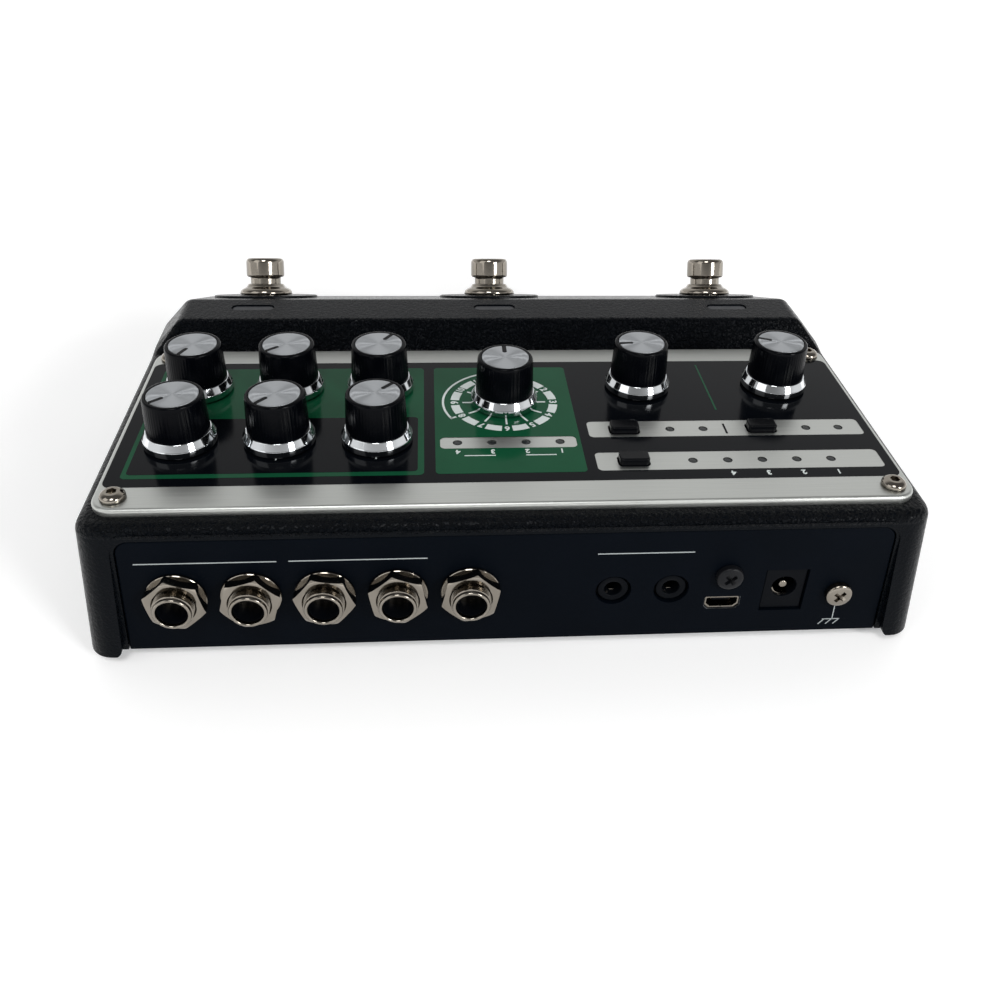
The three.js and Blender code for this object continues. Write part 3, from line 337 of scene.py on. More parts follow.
def turned(name, rings, sides=64):
    """A round form about Z through rings of (radius, height), drawn one from another; closed at its ends."""
    deselect()
    (radius, height), *others = rings
    bpy.ops.mesh.primitive_circle_add(vertices=sides, radius=radius * MM, location=(0, 0, height * MM),
                                      fill_type="NGON")
    piece = bpy.context.object
    bpy.ops.object.transform_apply()
    piece.name = name
    edit(piece)
    bpy.ops.mesh.select_all(action="SELECT")
    for next_radius, next_height in others:
        rise = (next_height - height) * MM
        bpy.ops.mesh.extrude_region_move(TRANSFORM_OT_translate={"value": (0, 0, rise)})
        if next_radius != radius:
            factor = next_radius / radius
            bpy.ops.transform.resize(value=(factor, factor, 1), center_override=(0, 0, next_height * MM))
        radius, height = next_radius, next_height
    close_edit()
    return piece


def slab(name, outline, low, high):
    """A flat form: an outline of (x, y), filled and extruded from low to high."""
    deselect()
    bpy.ops.mesh.primitive_circle_add(vertices=len(outline), radius=MM, fill_type="NGON")
    piece = bpy.context.object
    piece.name = name
    for vertex, (x, y) in zip(piece.data.vertices, outline):
        vertex.co = Vector((x, y, low)) * MM
    edit(piece)
    bpy.ops.mesh.select_all(action="SELECT")
    bpy.ops.mesh.extrude_region_move(TRANSFORM_OT_translate={"value": (0, 0, (high - low) * MM)})
    close_edit()
    return piece


def bevel_edges(piece, rule, width, steps):
    edit(piece, "EDGE")
    choose(piece, "edges", rule)
    bpy.ops.mesh.bevel(offset=width * MM, segments=steps, affect="EDGES")
    close_edit()


def is_at(axis, value):
    """A rule for edges that lie at one height of an axis."""
    return lambda edge: all(abs(v.co[axis] - value * MM) < 1e-7 for v in edge.verts)


def rounded_box(name, low, high, corner=0, corner_steps=6, edge=0, edge_steps=3):
    """A box with its upright edges rounded by corner, and its top edges by edge."""
    deselect()
    low, high = Vector(low), Vector(high)
    bpy.ops.mesh.primitive_cube_add(size=1, location=(low + high) / 2 * MM, scale=(high - low) * MM)
    piece = bpy.context.object
    bpy.ops.object.transform_apply()
    piece.name = name
    if corner:
        bevel_edges(piece, lambda e: abs(e.verts[0].co.z - e.verts[1].co.z) > 1e-6, corner, corner_steps)
    if edge:
        bevel_edges(piece, is_at(2, high.z), edge, edge_steps)
    return piece


def place(piece, matrix):
    """Puts a form that was shaped about the origin in its place, which goes into its mesh."""
    pick(piece).matrix_world = matrix
    bpy.ops.object.transform_apply()
    return piece


def moved(x, y, z):
    return Matrix.Translation(Vector((x, y, z)) * MM)


def facing_rear(x, z, turn=0):
    """Turns a form's Z axis to the rear, its X staying along X; z is its height above the case's rim."""
    return (moved(x, y_at(0), z + RIM) @ Matrix.Rotation(-pi / 2, 4, "X")
            @ Matrix.Rotation(radians(turn), 4, "Z"))


def upright(x=0, z=0):
    """Stands a form up: Y becomes the height above the case's rim, and Z the depth behind the rear face."""
    return moved(x, y_at(0), z + RIM) @ Matrix.Rotation(pi / 2, 4, "X")


def copied(piece, name, matrix):
    deselect()
    twin = piece.copy()
    twin.data = piece.data.copy()
    twin.name = name
    bpy.context.scene.collection.objects.link(twin)
    return place(twin, matrix)


def remove(*pieces):
    for piece in pieces:
        bpy.data.objects.remove(piece)


def apply_modifier(piece, kind, **settings):
    pick(piece)
    modifier = piece.modifiers.new(kind.lower(), kind)
    for key, value in settings.items():
        setattr(modifier, key, value)
    bpy.ops.object.modifier_apply(modifier=modifier.name)
    return piece


def cut(piece, *cutters):
    for cutter in cutters:
        apply_modifier(piece, "BOOLEAN", operation="DIFFERENCE", solver="EXACT", object=cutter)
    remove(*cutters)
    return piece


def joined(first, *others):
    """Several forms of one finish as one mesh."""
    deselect()
    for piece in (first, *others):
        piece.select_set(True)
    bpy.context.view_layer.objects.active = first
    bpy.ops.object.join()
    return first


def done(piece, material, body, slot, *nodes, sharp=35):
    """Shades a piece, gives it its finish, and lets it ride on its body in place of the CAD nodes."""
    pick(piece)
    bpy.ops.object.shade_smooth_by_angle(angle=radians(sharp))
    piece.data.materials.clear()
    piece.data.materials.append(material)
    apply_modifier(piece, "WEIGHTED_NORMAL", keep_sharp=True, weight=60)
    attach(piece, body)
    if nodes:
        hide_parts(*nodes)
    return piece


def filleted(corners, closed=True, step=7.5):
    """An outline of (x, y) or (x, y, radius) corners, each radius turned into an arc."""
    points = []
    for i, (x, y, *radius) in enumerate(corners):
        here = Vector((x, y))
        if not radius or radius[0] == 0 or (not closed and i in (0, len(corners) - 1)):
            points.append((x, y))
            continue
        to_before = (Vector(corners[i - 1][:2]) - here).normalized()
        to_after = (Vector(corners[(i + 1) % len(corners)][:2]) - here).normalized()
        half = acos(max(-1, min(1, to_before.dot(to_after)))) / 2
        start = here + to_before * radius[0] / tan(half)
        end = here + to_after * radius[0] / tan(half)
        centre = here + (to_before + to_after).normalized() * radius[0] / sin(half)
        arm, last = start - centre, end - centre
        sweep = atan2(arm.x * last.y - arm.y * last.x, arm.dot(last))
        steps = max(1, ceil(abs(degrees(sweep)) / step - 0.01))
        for k in range(steps + 1):
            a = sweep * k / steps
            points.append((centre.x + arm.x * cos(a) - arm.y * sin(a),
                           centre.y + arm.x * sin(a) + arm.y * cos(a)))
    return points


def mirrored(right):
    return filleted(right + [(-corner[0], *corner[1:]) for corner in reversed(right)])


def hexagon(across_flats):
    radius = across_flats / 2 / cos(pi / 6)
    return [(radius * cos(2 * pi * k / 6), radius * sin(2 * pi * k / 6)) for k in range(6)]


# Housing

CASE_WIDTH, WALL = 192, 2.2
DECK_RISE, HUMP_RISE = 34.35, 42.3
DRAFT = 0.069
DRAFT_SECANT = hypot(1, DRAFT)
REAR_REACH = 2.3
HUMP_FOOT, HUMP_RIDGE, HUMP_CREST, FRONT_RIM = 77.5, 81.995, 94.697, 130.7
FRONT_SLOPE = radians(23.3)
REAR_CORNER, FRONT_CORNER = 6, 8
DECK_SHOULDER = 3
SLANT_DEPTH, SLANT_WIDTH = 8.6, 7.9
FOOTSWITCHES = {"left": -67.1, "centre": 0, "right": 67.1}
WINDOW_DEPTH, WINDOW_TOP = HUMP_CREST - 5.4, RIM + HUMP_RISE - 0.3
OPENING_TOP = 31.5
CORNER_ROWS, LEAST_STEP = 12, 0.02


def rear_face(z):
    return REAR_REACH - DRAFT * z


def front_face(z):
    return DRAFT * z - FRONT_RIM


def side_face(z):
    return CASE_WIDTH / 2 - DRAFT * z


def side_profile():
    run = FRONT_RIM - HUMP_CREST
    front_top = (HUMP_RISE - run * tan(FRONT_SLOPE)) / (1 - DRAFT * tan(FRONT_SLOPE))
    corners = [(rear_face(0), 0), (rear_face(DECK_RISE), DECK_RISE, 3), (-HUMP_FOOT, DECK_RISE, 1.5),
               (-HUMP_RIDGE, HUMP_RISE, 1.2), (-HUMP_CREST, HUMP_RISE, 4),
               (front_face(front_top), front_top, 3.5), (front_face(0), 0)]
    return filleted(corners, closed=False)[1:-1]


def height_on(profile, y):
    for (y0, z0), (y1, z1) in zip(profile, profile[1:]):
        if y1 <= y <= y0:
            return z0 + (z1 - z0) * (y0 - y) / max(y0 - y1, 1e-9)
    return profile[0][1] if y > profile[0][0] else profile[-1][1]


def rounding(distance, radius):
    within = min(max(distance, 0), radius)
    return radius - sqrt(max(radius ** 2 - (radius - within) ** 2, 0))


def shoulder(top, slant):
    """The turn from a side wall to the top: round beside the panel, slanted where the hump stands full."""
    foot = top - SLANT_DEPTH
    edge_x = side_face(foot)
    slanted = filleted([(side_face(0), 0), (edge_x, foot, 5), (edge_x - SLANT_WIDTH, top, 3.5), (0, top)],
                       closed=False)[1:-1]
    centre_z = top - DECK_SHOULDER
    centre_x = side_face(centre_z) - DECK_SHOULDER * DRAFT_SECANT
    first = atan(DRAFT)
    points = []
    for k, (x, z) in enumerate(slanted):
        angle = first + (pi / 2 - first) * k / (len(slanted) - 1)
        round_x, round_z = centre_x + DECK_SHOULDER * cos(angle), centre_z + DECK_SHOULDER * sin(angle)
        points.append((round_x + (x - round_x) * slant, round_z + (z - round_z) * slant))
    return points


def housing_section(y, profile):
    """The housing's outline at a station, from one rim over its top to the other."""
    top = height_on(profile, y)
    rear_y = rear_face(top)
    length = rear_y - front_face(top)
    share = (rear_y - y) / length
    narrowing = rounding(share * length, REAR_CORNER) + rounding((1 - share) * length, FRONT_CORNER)
    rise = min(max((top - DECK_RISE) / (HUMP_RISE - DECK_RISE), 0), 1)
    turn = shoulder(top, 1 if y < -HUMP_RIDGE else rise)
    wall = [turn[0][1] * k / 5 for k in range(5)]
    half = [(side_face(z), z) for z in wall] + turn
    half += [(turn[-1][0] * part, top) for part in (0.8, 0.5, 0.2)]
    half = [(x - narrowing * min(x / turn[-1][0], 1), z) for x, z in half]
    points = []
    for x, z in half:
        y = rear_face(z) + (front_face(z) - rear_face(z)) * share
        points.append(Vector((x, y + REAR_FACE, z + RIM)))
    return points + [Vector((-p.x, p.y, p.z)) for p in reversed(points)]


def housing_rows(profile):
    """The sections' places along Y: the profile's own, and closer ones round the housing's corners."""
    stations = [p[0] for p in profile]
    for k in range(1, CORNER_ROWS + 1):
        share = 1 - cos(pi / 2 * k / CORNER_ROWS)
        stations += [profile[0][0] - REAR_CORNER * share, profile[-1][0] + FRONT_CORNER * share]
    rows = []
    for y in sorted(stations, reverse=True):
        if not rows or rows[-1] - y > LEAST_STEP:
            rows.append(y)
    return rows


def opening_half(z):
    return 87.9 - 0.06 * z


def oblong(half, tall, radius=0):
    corners = [(half, -tall), (half, tall), (-half, tall), (-half, -tall)]
    return filleted([(*corner, radius) for corner in corners], step=15)


def window_form(name, x, inset, low, high):
    half, tall = 5.8 - inset, 1.65 - inset
    return place(slab(name, oblong(half, tall, tall - 0.03), low, high), moved(x, y_at(WINDOW_DEPTH), 0))


def onto_front_deck(x):
    """Stands a form on the footswitch deck: its z = 0 comes to the deck's surface."""
    run = (FRONT_RIM - HUMP_CREST) / 2
    return (moved(x, y_at(HUMP_CREST + run), RIM + HUMP_RISE - run * tan(FRONT_SLOPE))
            @ Matrix.Rotation(FRONT_SLOPE, 4, "X"))


def lip_outline(inset):
    return mirrored([(opening_half(0) - inset, -1),
                     (opening_half(OPENING_TOP) - inset, OPENING_TOP + 0.4 - inset, 3.5)])


def rear_lip():
    """The narrow frame round the rear panel, with the ledge behind its edge."""
    outer = mirrored([(opening_half(0) + 2.2, 0.3),
                      (opening_half(OPENING_TOP) + 1.2, OPENING_TOP + 1.1, 5)])
    within = slab("within", lip_outline(0.8), -1, 1.65)
    through = slab("through", lip_outline(2.4), -2, 4)
    return place(cut(slab("lip", outer, -0.1, 2.6), within, through), upright())


def footswitch_seat(x):
    rings = [(15, -1.2), (15, 0.4), (14.92, 0.58), (14.7, 0.7), (6.5, 0.7), (6.5, -1.2)]
    return place(turned("seat", rings, 96), onto_front_deck(x))


def model_housing():
    """A grid laid over the casting's sections, given its wall, rear opening, windows, lip and seats."""
    profile = side_profile()
    rows = housing_rows(profile)
    sections = [housing_section(y, profile) for y in rows]
    columns = len(sections[0])
    deselect()
    bpy.ops.mesh.primitive_grid_add(x_subdivisions=columns - 1, y_subdivisions=len(rows) - 1, size=1)
    housing = bpy.context.object
    housing.name = "housing"
    for vertex in housing.data.vertices:
        column = round((vertex.co.x + 0.5) * (columns - 1))
        row = round((vertex.co.y + 0.5) * (len(rows) - 1))
        vertex.co = sections[row][column] * MM
    edit(housing, "EDGE")
    for row in (0, len(rows) - 1):
        choose(housing, "edges", lambda e: all(v.index // columns == row for v in e.verts))
        bpy.ops.mesh.edge_face_add()
    close_edit()
    apply_modifier(housing, "SOLIDIFY", thickness=WALL * MM, offset=-1, use_even_offset=True)
    opening = mirrored([(93.4, -1), (opening_half(0), 0, 2.8),
                        (opening_half(OPENING_TOP), OPENING_TOP, 4.3)])
    cut(housing, place(slab("opening_cutter", opening, -6, 6), upright()))
    cut(housing, *[window_form("window_cutter", x, 0, 40, 50) for x in FOOTSWITCHES.values()])
    raised = [rear_lip()] + [footswitch_seat(x) for x in FOOTSWITCHES.values()]
    done(joined(housing, *raised), coat_cast, "unit", "cast_black", "case", sharp=30)


model_housing()


# Rear panel: the large sockets by X and the turn of their nuts, the rest by X and height above the rim

JACKS = [(74.2, 42), (58.16, 15), (42.12, 51), (26.08, 40), (10.04, 18)]
JACK_RISE = 15.6
MINI_JACKS = (-22.4, -35.75)
MINI_JACK_RISE = 14.3
DATA_SOCKET = (-48.2, 9.75)
POWER_SOCKET = (-62.4, 13.1)
BRACKET_SCREW = (-48.6, 18.1)
GROUND_SCREW = (-75.3, 12.2)


def data_outline(inset):
    half, tall = 3.95 - inset, 1.6 - inset
    return mirrored([(half - 1, -tall), (half, 1 - tall), (half, tall, 0.4)])


def model_rear_plate():
    foot, top = 0.3, 30.9
    outline = mirrored([(opening_half(foot) - 1, foot), (opening_half(top) - 1, top, 3.3)])
    plate = place(slab("rear_plate", outline, 0, 1.6), upright())
    lowest = (2 + RIM) * MM
    bevel_edges(plate, lambda e: is_at(1, REAR_FACE)(e) and any(v.co.z > lowest for v in e.verts), 0.5, 4)
    holes = [(x, JACK_RISE, 5) for x, _ in JACKS] + [(x, MINI_JACK_RISE, 4.1) for x in MINI_JACKS]
    for x, z, radius in holes:
        cut(plate, place(turned("round_hole", [(radius, -3), (radius, 3)], 48), facing_rear(x, z)))
    cut(plate, place(slab("data_hole", data_outline(-0.3), -3, 3), upright(*DATA_SOCKET)))
    cut(plate, place(slab("power_hole", oblong(5.1, 6.1), -3, 3), upright(*POWER_SOCKET)))
    flange = rounded_box("flange", (-80.8, y_at(10.6), RIM + 1.5), (80.8, y_at(0.8), RIM + 2.7))
    done(joined(plate, flange), coat_sheet, "unit", "sheet_black", "rear_panel")


model_rear_plate()


# Control panel: places by X and depth, and for a knob the angle that it points to, clockwise from +Y

PANEL_BACK, PANEL_FRONT, PANEL_HALF = 4.3, 75.5, 90.75
KNOBS = {
    "rear_right": (76.05, 30.1, 50), "rear_middle": (53.5, 30.1, 41), "rear_inner": (30.95, 30.1, -138),
    "front_right": (76.05, 54.2, 25), "front_middle": (53.5, 54.2, 51), "front_inner": (30.95, 54.2, -147),
    "selector": (0, 46.8, 180), "left_inner": (-35.1, 54.2, 85), "left_outer": (-71.3, 54.2, 112),
}
LAMPS = ([(x, 28.6) for x in (12.16, 4.05, -4.05, -12.16)]
         + [(x, 19.9) for x in (-42.31, -50.58, -58.84, -67.12, -75.38)]
         + [(x, 33.55) for x in (-39.69, -47.9, -73.71, -81.89)])
BUTTONS = {"button_rear": (-28.35, 19.9), "button_front_inner": (-28.35, 33.55),
           "button_front_outer": (-62.35, 33.55)}
PANEL_SCREWS = {"rear_right": (86.15, 8.9), "rear_left": (-86.15, 8.9),
                "front_right": (86.15, 70.9), "front_left": (-86.15, 70.9)}
# Bare strips of the plate between the print: left, right, back and front
STRIPS = [(-16.1, 16.25, 26.05, 30.9), (-87.6, -19.5, 30.2, 37.3), (-87.4, -19.6, 16.2, 23.6)]
# Foot and top of each layer of ink: black, green over it, black again and white
BLACK_INK = (PANEL_TOP - 0.02, PANEL_TOP + 0.05)
GREEN_INK = (PANEL_TOP, PANEL_TOP + 0.09)
OVERPRINT = (PANEL_TOP + 0.03, PANEL_TOP + 0.13)
WHITE_INK = (PANEL_TOP + 0.04, PANEL_TOP + 0.17)


def field(name, left, right, back, front, low, high, corner):
    """A flat area between two X and two depths."""
    return rounded_box(name, (left, y_at(front), low), (right, y_at(back), high), corner, 5)


def model_face_plate():
    low, high = DECK - 1, PANEL_TOP + 1
    plate = rounded_box("face_plate", (-PANEL_HALF, y_at(PANEL_FRONT), DECK),
                        (PANEL_HALF, y_at(PANEL_BACK), PANEL_TOP), 5, 10, 0.9, 5)
    for x, depth in LAMPS:
        cut(plate, place(turned("lamp_hole", [(1.12, low), (1.12, high)], 24), moved(x, y_at(depth), 0)))
    for x, depth in BUTTONS.values():
        cut(plate, field("key_hole", x - 3.8, x + 3.8, depth - 2.2, depth + 2.2, low, high, 1.1))
    done(plate, plate_metal, "unit", "panel_face", "control_panel")


def strip_cutters(*numbers):
    return [field("strip_cutter", *STRIPS[n], PANEL_TOP - 1, PANEL_TOP + 1, 1.2) for n in numbers]


def model_print():
    black = field("print_black", -89.7, 89.7, 12.45, 67.9, *BLACK_INK, 2)
    done(cut(black, *strip_cutters(0, 1, 2)), ink_black, "unit", "panel_face")
    knobs = field("print_green", 20, 86.5, 15.5, 64.8, *GREEN_INK, 1.2)
    selector = field("print_selector", -17.1, 17.4, 15.8, 64.8, *GREEN_INK, 1)
    divider = field("divider", -53.5, -53.05, 42.3, 65.6, *GREEN_INK, 0)
    done(joined(knobs, cut(selector, *strip_cutters(0)), divider), ink_green, "unit", "panel_face")
    tone = field("print_tone", 21.45, 85.5, 17, 40.1, *OVERPRINT, 1)
    strip_bar = field("strip_bar", -53.6, -53.1, 31.3, 35.7, *BLACK_INK, 0)
    done(joined(tone, strip_bar), ink_black, "unit", "panel_face")


def bar(x0, y0, x1, y1, width, layer=WHITE_INK):
    along = Vector((x1 - x0, y1 - y0)).normalized() * width / 2
    side = Vector((-along.y, along.x))
    return slab("bar", [(x0 + side.x, y0 + side.y), (x0 - side.x, y0 - side.y),
                        (x1 - side.x, y1 - side.y), (x1 + side.x, y1 + side.y)], *layer)


def arc(inner, outer, first, last, steps=12):
    """A flat band about the origin between two radii and two angles, clockwise from +Y."""
    angles = [radians(first + (last - first) * k / steps) for k in range(steps + 1)]
    return slab("arc", [(outer * sin(a), outer * cos(a)) for a in angles]
                + [(inner * sin(a), inner * cos(a)) for a in reversed(angles)], *WHITE_INK)


def numeral(number, tall):
    """A plain number about the origin, tall from foot to head."""
    deselect()
    bpy.ops.object.text_add()
    text = bpy.context.object
    text.data.body = str(number)
    text.data.align_x, text.data.align_y = "CENTER", "CENTER"
    text.data.size = tall / 0.72 * MM
    text.data.offset = 0.035 * tall * MM
    low, high = WHITE_INK
    text.data.extrude = (high - low) / 2 * MM
    bpy.ops.object.convert(target="MESH")
    piece = bpy.context.object
    piece.name = "numeral"
    narrowing = Matrix.Scale(0.8 if number > 9 else 1, 4, (1, 0, 0))
    return place(piece, moved(0, 0, (low + high) / 2) @ narrowing)


def dial_marks():
    """The selector's dial: a number, a block and a tick for each of 12 places, and the arc beside them."""
    marks = []
    for number in range(1, 13):
        angle = (number - 6) * 30
        turn = Matrix.Rotation(-radians(angle), 4, "Z")
        marks.append(place(numeral(number, 1.85), turn @ moved(0, 12.3, 0)))
        marks.append(place(arc(11.25, 13.4, 6, 24), turn))
        marks.append(place(bar(0, 7.5, 0, 10.4, 0.45), turn))
    marks.append(arc(15, 15.55, 60, 156, 48))
    marks.append(place(bar(0, 13.9, 0, 15.4, 0.5), Matrix.Rotation(-radians(61), 4, "Z")))
    x, depth, _ = KNOBS["selector"]
    return [place(mark, moved(x, y_at(depth), 0)) for mark in marks]


def model_marks():
    """White marks: the selector's dial, the strips' numbers, ticks and lines, and the rear's lines."""
    marks = dial_marks()
    for number, (x, depth) in zip((4, 3, 2, 1), LAMPS):
        marks.append(place(numeral(number, 1.6), moved(x, y_at(depth - 4), 0)))
    for number, (x, _) in zip((4, 3, 2, 1), LAMPS[5:9]):
        marks.append(place(numeral(number, 1.6), moved(x, y_at(14.5), 0)))
    for left, right in ((3.5, 10.7), (-10.7, -3.6)):
        marks.append(bar(left, y_at(22.9), right, y_at(22.9), 0.25))
    for x in (53.5, 30.95):
        marks.append(bar(x, y_at(22.1), x, y_at(23.3), 0.35))
    done(joined(*marks), ink_white, "unit", "panel_face", sharp=20).name = "white_marks"
    lines = [(51.9, 24.95, 81.9, 24.95, 0.24), (19.5, 25, 49.3, 25, 0.24), (-39.8, 25.1, -18, 25.1, 0.24)]
    ground = [(-75.6, 8.2, -75.8, 3.75, 0.22), (-77.6, 3.75, -73.4, 3.75, 0.22)]
    ground += [(x, 3.75, x + 1.2, 2.2, 0.22) for x in (-77.5, -75.7, -73.9)]
    # The rear's lines are white print, drawn in a darker grey as painted shade
    rear = [place(bar(*line, layer=(-0.06, 0.02)), upright()) for line in lines + ground]
    done(joined(*rear), ink_white_shaded, "unit", "sheet_black", sharp=20).name = "rear_marks"


def model_lamp_lenses():
    """The guide under the panel: a sheet of smoked acrylic with a lens standing in each hole."""
    pieces = [rounded_box("lamp_lenses", (-84.3, y_at(35.9), 33.4), (14.5, y_at(17.5), 34.6), 1)]
    lens = turned("lens", [(1.05, 34), (1.05, 38.7), (0.95, 38.82), (0.7, 38.88), (0.4, 38.9)], 24)
    pieces += [copied(lens, "lens", moved(x, y_at(depth), 0)) for x, depth in LAMPS]
    remove(lens)
    done(joined(*pieces), lamp_plastic, "unit", "lamp_grey", "panel_light_guide")
    guide = rounded_box("window_lenses", (-72.9, y_at(WINDOW_DEPTH + 2.5), 40.6),
                        (72.9, y_at(WINDOW_DEPTH - 2.5), 42.6), 1)
    windows = [window_form("window_lens", x, 0.15, 41, WINDOW_TOP) for x in FOOTSWITCHES.values()]
    for window in windows:
        bevel_edges(window, is_at(2, WINDOW_TOP), 0.25, 3)
    done(joined(guide, *windows), window_plastic, "unit", "lamp_grey", "hump_light_guide")


KEY_FOOT, KEY_TOP = 35.85, 40.8


def model_buttons():
    for node, (x, depth) in BUTTONS.items():
        y = y_at(depth)
        cap = rounded_box(f"{node}_cap", (x - 3.5, y - 1.9, KEY_FOOT), (x + 3.5, y + 1.9, KEY_TOP),
                          0.8, 5, 0.45, 4)
        flange = rounded_box("flange", (x - 4.5, y - 2.4, KEY_FOOT), (x + 4.5, y + 2.4, KEY_FOOT + 1), 0.5)
        stem = rounded_box("stem", (x - 1.8, y - 1.3, 31.3), (x + 1.8, y + 1.3, KEY_FOOT + 0.15), 0.3)
        done(joined(cap, flange, stem), key_plastic, f"{node}_key", "black_plastic", node)


model_face_plate()
model_print()
model_marks()
model_lamp_lenses()
model_buttons()


# Knobs

RIBS = 60


def in_groove(vertex):
    """Whether a vertex of the knob's flank lies between two ribs: every third one round it."""
    around = round((atan2(vertex.co.y, vertex.co.x) / (2 * pi)) * RIBS * 3)
    return 2.25 < vertex.co.z / MM < 12.1 and vertex.co.xy.length > 6.6 * MM and around % 3 == 0


def model_knob():
    """One knob about the origin, pointing to +Y, its foot at the panel: body, skirt and turned cap."""
    body = turned("knob_body", [(6, 2.2), (7.2, 2.3), (7.13, 4.6), (7.05, 7), (6.92, 10), (6.82, 12.05),
                                (6.76, 12.25), (6.75, 12.5), (6.68, 12.75), (6.5, 12.95), (6.3, 13),
                                (5.95, 12.96), (5.86, 12.8), (5.86, 12.3), (2, 12.3)], RIBS * 3)
    edit(body)
    choose(body, "verts", in_groove)
    bpy.ops.transform.resize(value=(0.99, 0.99, 1), center_override=(0, 0, 0))
    close_edit()
    skirt = turned("knob_skirt", [(5.9, 0.8), (8.15, 0.7), (8.27, 0.76), (8.3, 0.9), (8.3, 2.15),
                                  (8.25, 2.28), (8.15, 2.36), (7.45, 3.85), (7.35, 3.92), (6.8, 3.92),
                                  (6.6, 3.5), (5.9, 3.4)], 96)
    cap = turned("knob_cap_form", [(5.5, 12.4), (5.72, 12.45), (5.77, 12.5), (5.77, 12.88), (5.72, 12.96),
                                   (5.62, 13), (4.8, 13), (3.6, 13), (2.4, 13), (1.2, 13), (0.2, 13)], 96)
    cut(cap, rounded_box("pointer_cutter", (-0.55, 2.2, 12.62), (0.55, 7, 14), 0.54, 8))
    return body, skirt, cap


def lay_turning_map(cap, centre):
    """Lays the cap's map round its centre, so that its grooves run round: across by angle, up by radius."""
    layer = cap.data.uv_layers.new(name="turning")
    for polygon in cap.data.polygons:
        middle = polygon.center - centre
        main = atan2(middle.y, middle.x)
        for corner in polygon.loop_indices:
            arm = cap.data.vertices[cap.data.loops[corner].vertex_index].co - centre
            turn = (atan2(arm.y, arm.x) - main + pi) % (2 * pi) - pi + main
            layer.data[corner].uv = (turn / (2 * pi), arm.xy.length * 90)


def place_knobs():
    body, skirt, cap = model_knob()
    for name, (x, depth, angle) in KNOBS.items():
        spot = moved(x, y_at(depth), PANEL_TOP) @ Matrix.Rotation(-radians(angle), 4, "Z")
        rides = f"knob_{name}_assembly"
        done(copied(body, f"grip_{name}", spot), knob_plastic, rides, "knob_black", f"knob_{name}")
        done(copied(skirt, f"skirt_{name}", spot), chrome, rides, "nickel")
        disc = copied(cap, f"disc_{name}", spot)
        lay_turning_map(disc, Vector((x, y_at(depth), 0)) * MM)
        done(disc, spun, rides, "spun_silver", f"knob_{name}_cap")
        pointer = rounded_box(f"pointer_{name}", (-0.54, 2.21, 12.3), (0.54, 5.8, 12.96), 0.53, 8)
        done(place(pointer, spot), knob_plastic, rides, "knob_black")
    remove(body, skirt, cap)


place_knobs()


# Footswitches

def place_footswitches():
    nut = turned("dress_nut", [(4.7, 0.9), (7.3, 0.85), (7.5, 0.92), (7.6, 1.1), (7.58, 1.5), (7.48, 1.85),
                               (7.25, 2.2), (6.9, 2.5), (6.4, 2.75), (5.95, 2.98), (5.6, 3.25), (5.35, 3.6),
                               (5.2, 3.88), (5, 4), (4.8, 4), (4.7, 3.8), (4.7, 1)], 96)
    cap = turned("foot_cap", [(3.6, -4), (4.4, -3.9), (4.4, 5.4), (4.42, 5.75), (4.55, 5.93), (4.95, 6),
                              (5.25, 6.1), (5.42, 6.3), (5.5, 6.6), (5.5, 10.1), (5.48, 10.5), (5.4, 10.85),
                              (5.25, 11.15), (5.02, 11.36), (4.72, 11.47), (4.3, 11.5), (0.5, 11.5)], 96)
    for side, x in FOOTSWITCHES.items():
        body = rounded_box(f"dress_nut_{side}", (-8, -8, -16.5), (8, 8, -2.5), 1)
        body = place(joined(body, copied(nut, "nut", Matrix())), onto_front_deck(x))
        done(body, nickel, "unit", "nickel", f"footswitch_{side}")
        top = copied(cap, f"foot_cap_{side}", onto_front_deck(x))
        done(top, nickel, f"footswitch_plunger_{side}", "nickel", f"footswitch_button_{side}")
    remove(nut, cap)


place_footswitches()


# Sockets

def model_nut():
    """A nut about Z, the corners of its outer end turned off, and its washer."""
    nut = slab("nut", hexagon(11.9), 0.9, 3.4)
    crown = turned("crown", [(6.8, 0.5), (6.8, 3.02), (6.35, 3.3), (6, 3.39), (5.6, 3.4), (5.4, 3.4)], 96)
    apply_modifier(nut, "BOOLEAN", operation="INTERSECT", solver="EXACT", object=crown)
    remove(crown)
    cut(nut, turned("bore_cutter", [(4.5, 0), (4.5, 3.05), (4.85, 3.42), (4.85, 5)], 64))
    rings = [(4.6, 0.1), (6.5, 0.1), (6.62, 0.2), (6.62, 0.75), (6.5, 0.88), (4.6, 0.9)]
    return nut, turned("washer", rings, 96)


THREADS, THREAD_PITCH = 4, 0.48


def model_bush():
    """A large socket's bush about Z: threaded between the nut and the plain rounded lip."""
    rings = [(3.45, -1.9), (4.35, -1.9), (4.35, 3)]
    for k in range(THREADS):
        z = 3.05 + THREAD_PITCH * k
        rings += [(4.45, z), (4.45, z + 0.1), (4.05, z + 0.22), (4.05, z + 0.34), (4.4, z + 0.46)]
    rings += [(4.45, 4.98), (4.4, 5.05), (4.2, 5.1), (4.14, 5.2), (4.14, 5.5), (4.08, 5.7), (3.95, 5.84),
              (3.78, 5.9), (3.62, 5.88), (3.47, 5.78), (3.39, 5.6), (3.36, 5.3), (3.36, -1.8)]
    return turned("bush", rings, 96)


def model_socket_core():
    """A large socket's black moulding: its block behind the panel, with the sleeve that lines the bush."""
    core = rounded_box("core", (-7.2, -5.7, -26.9), (7.2, 7.7, -1.95), 0.6, 3)
    sleeve = turned("sleeve", [(3.34, -3), (3.34, 4.9), (3.2, 4.95), (3.15, 4.8), (3.15, -2.5)], 64)
    return joined(cut(core, turned("bore", [(3.15, -24), (3.15, 0)], 48)), sleeve)


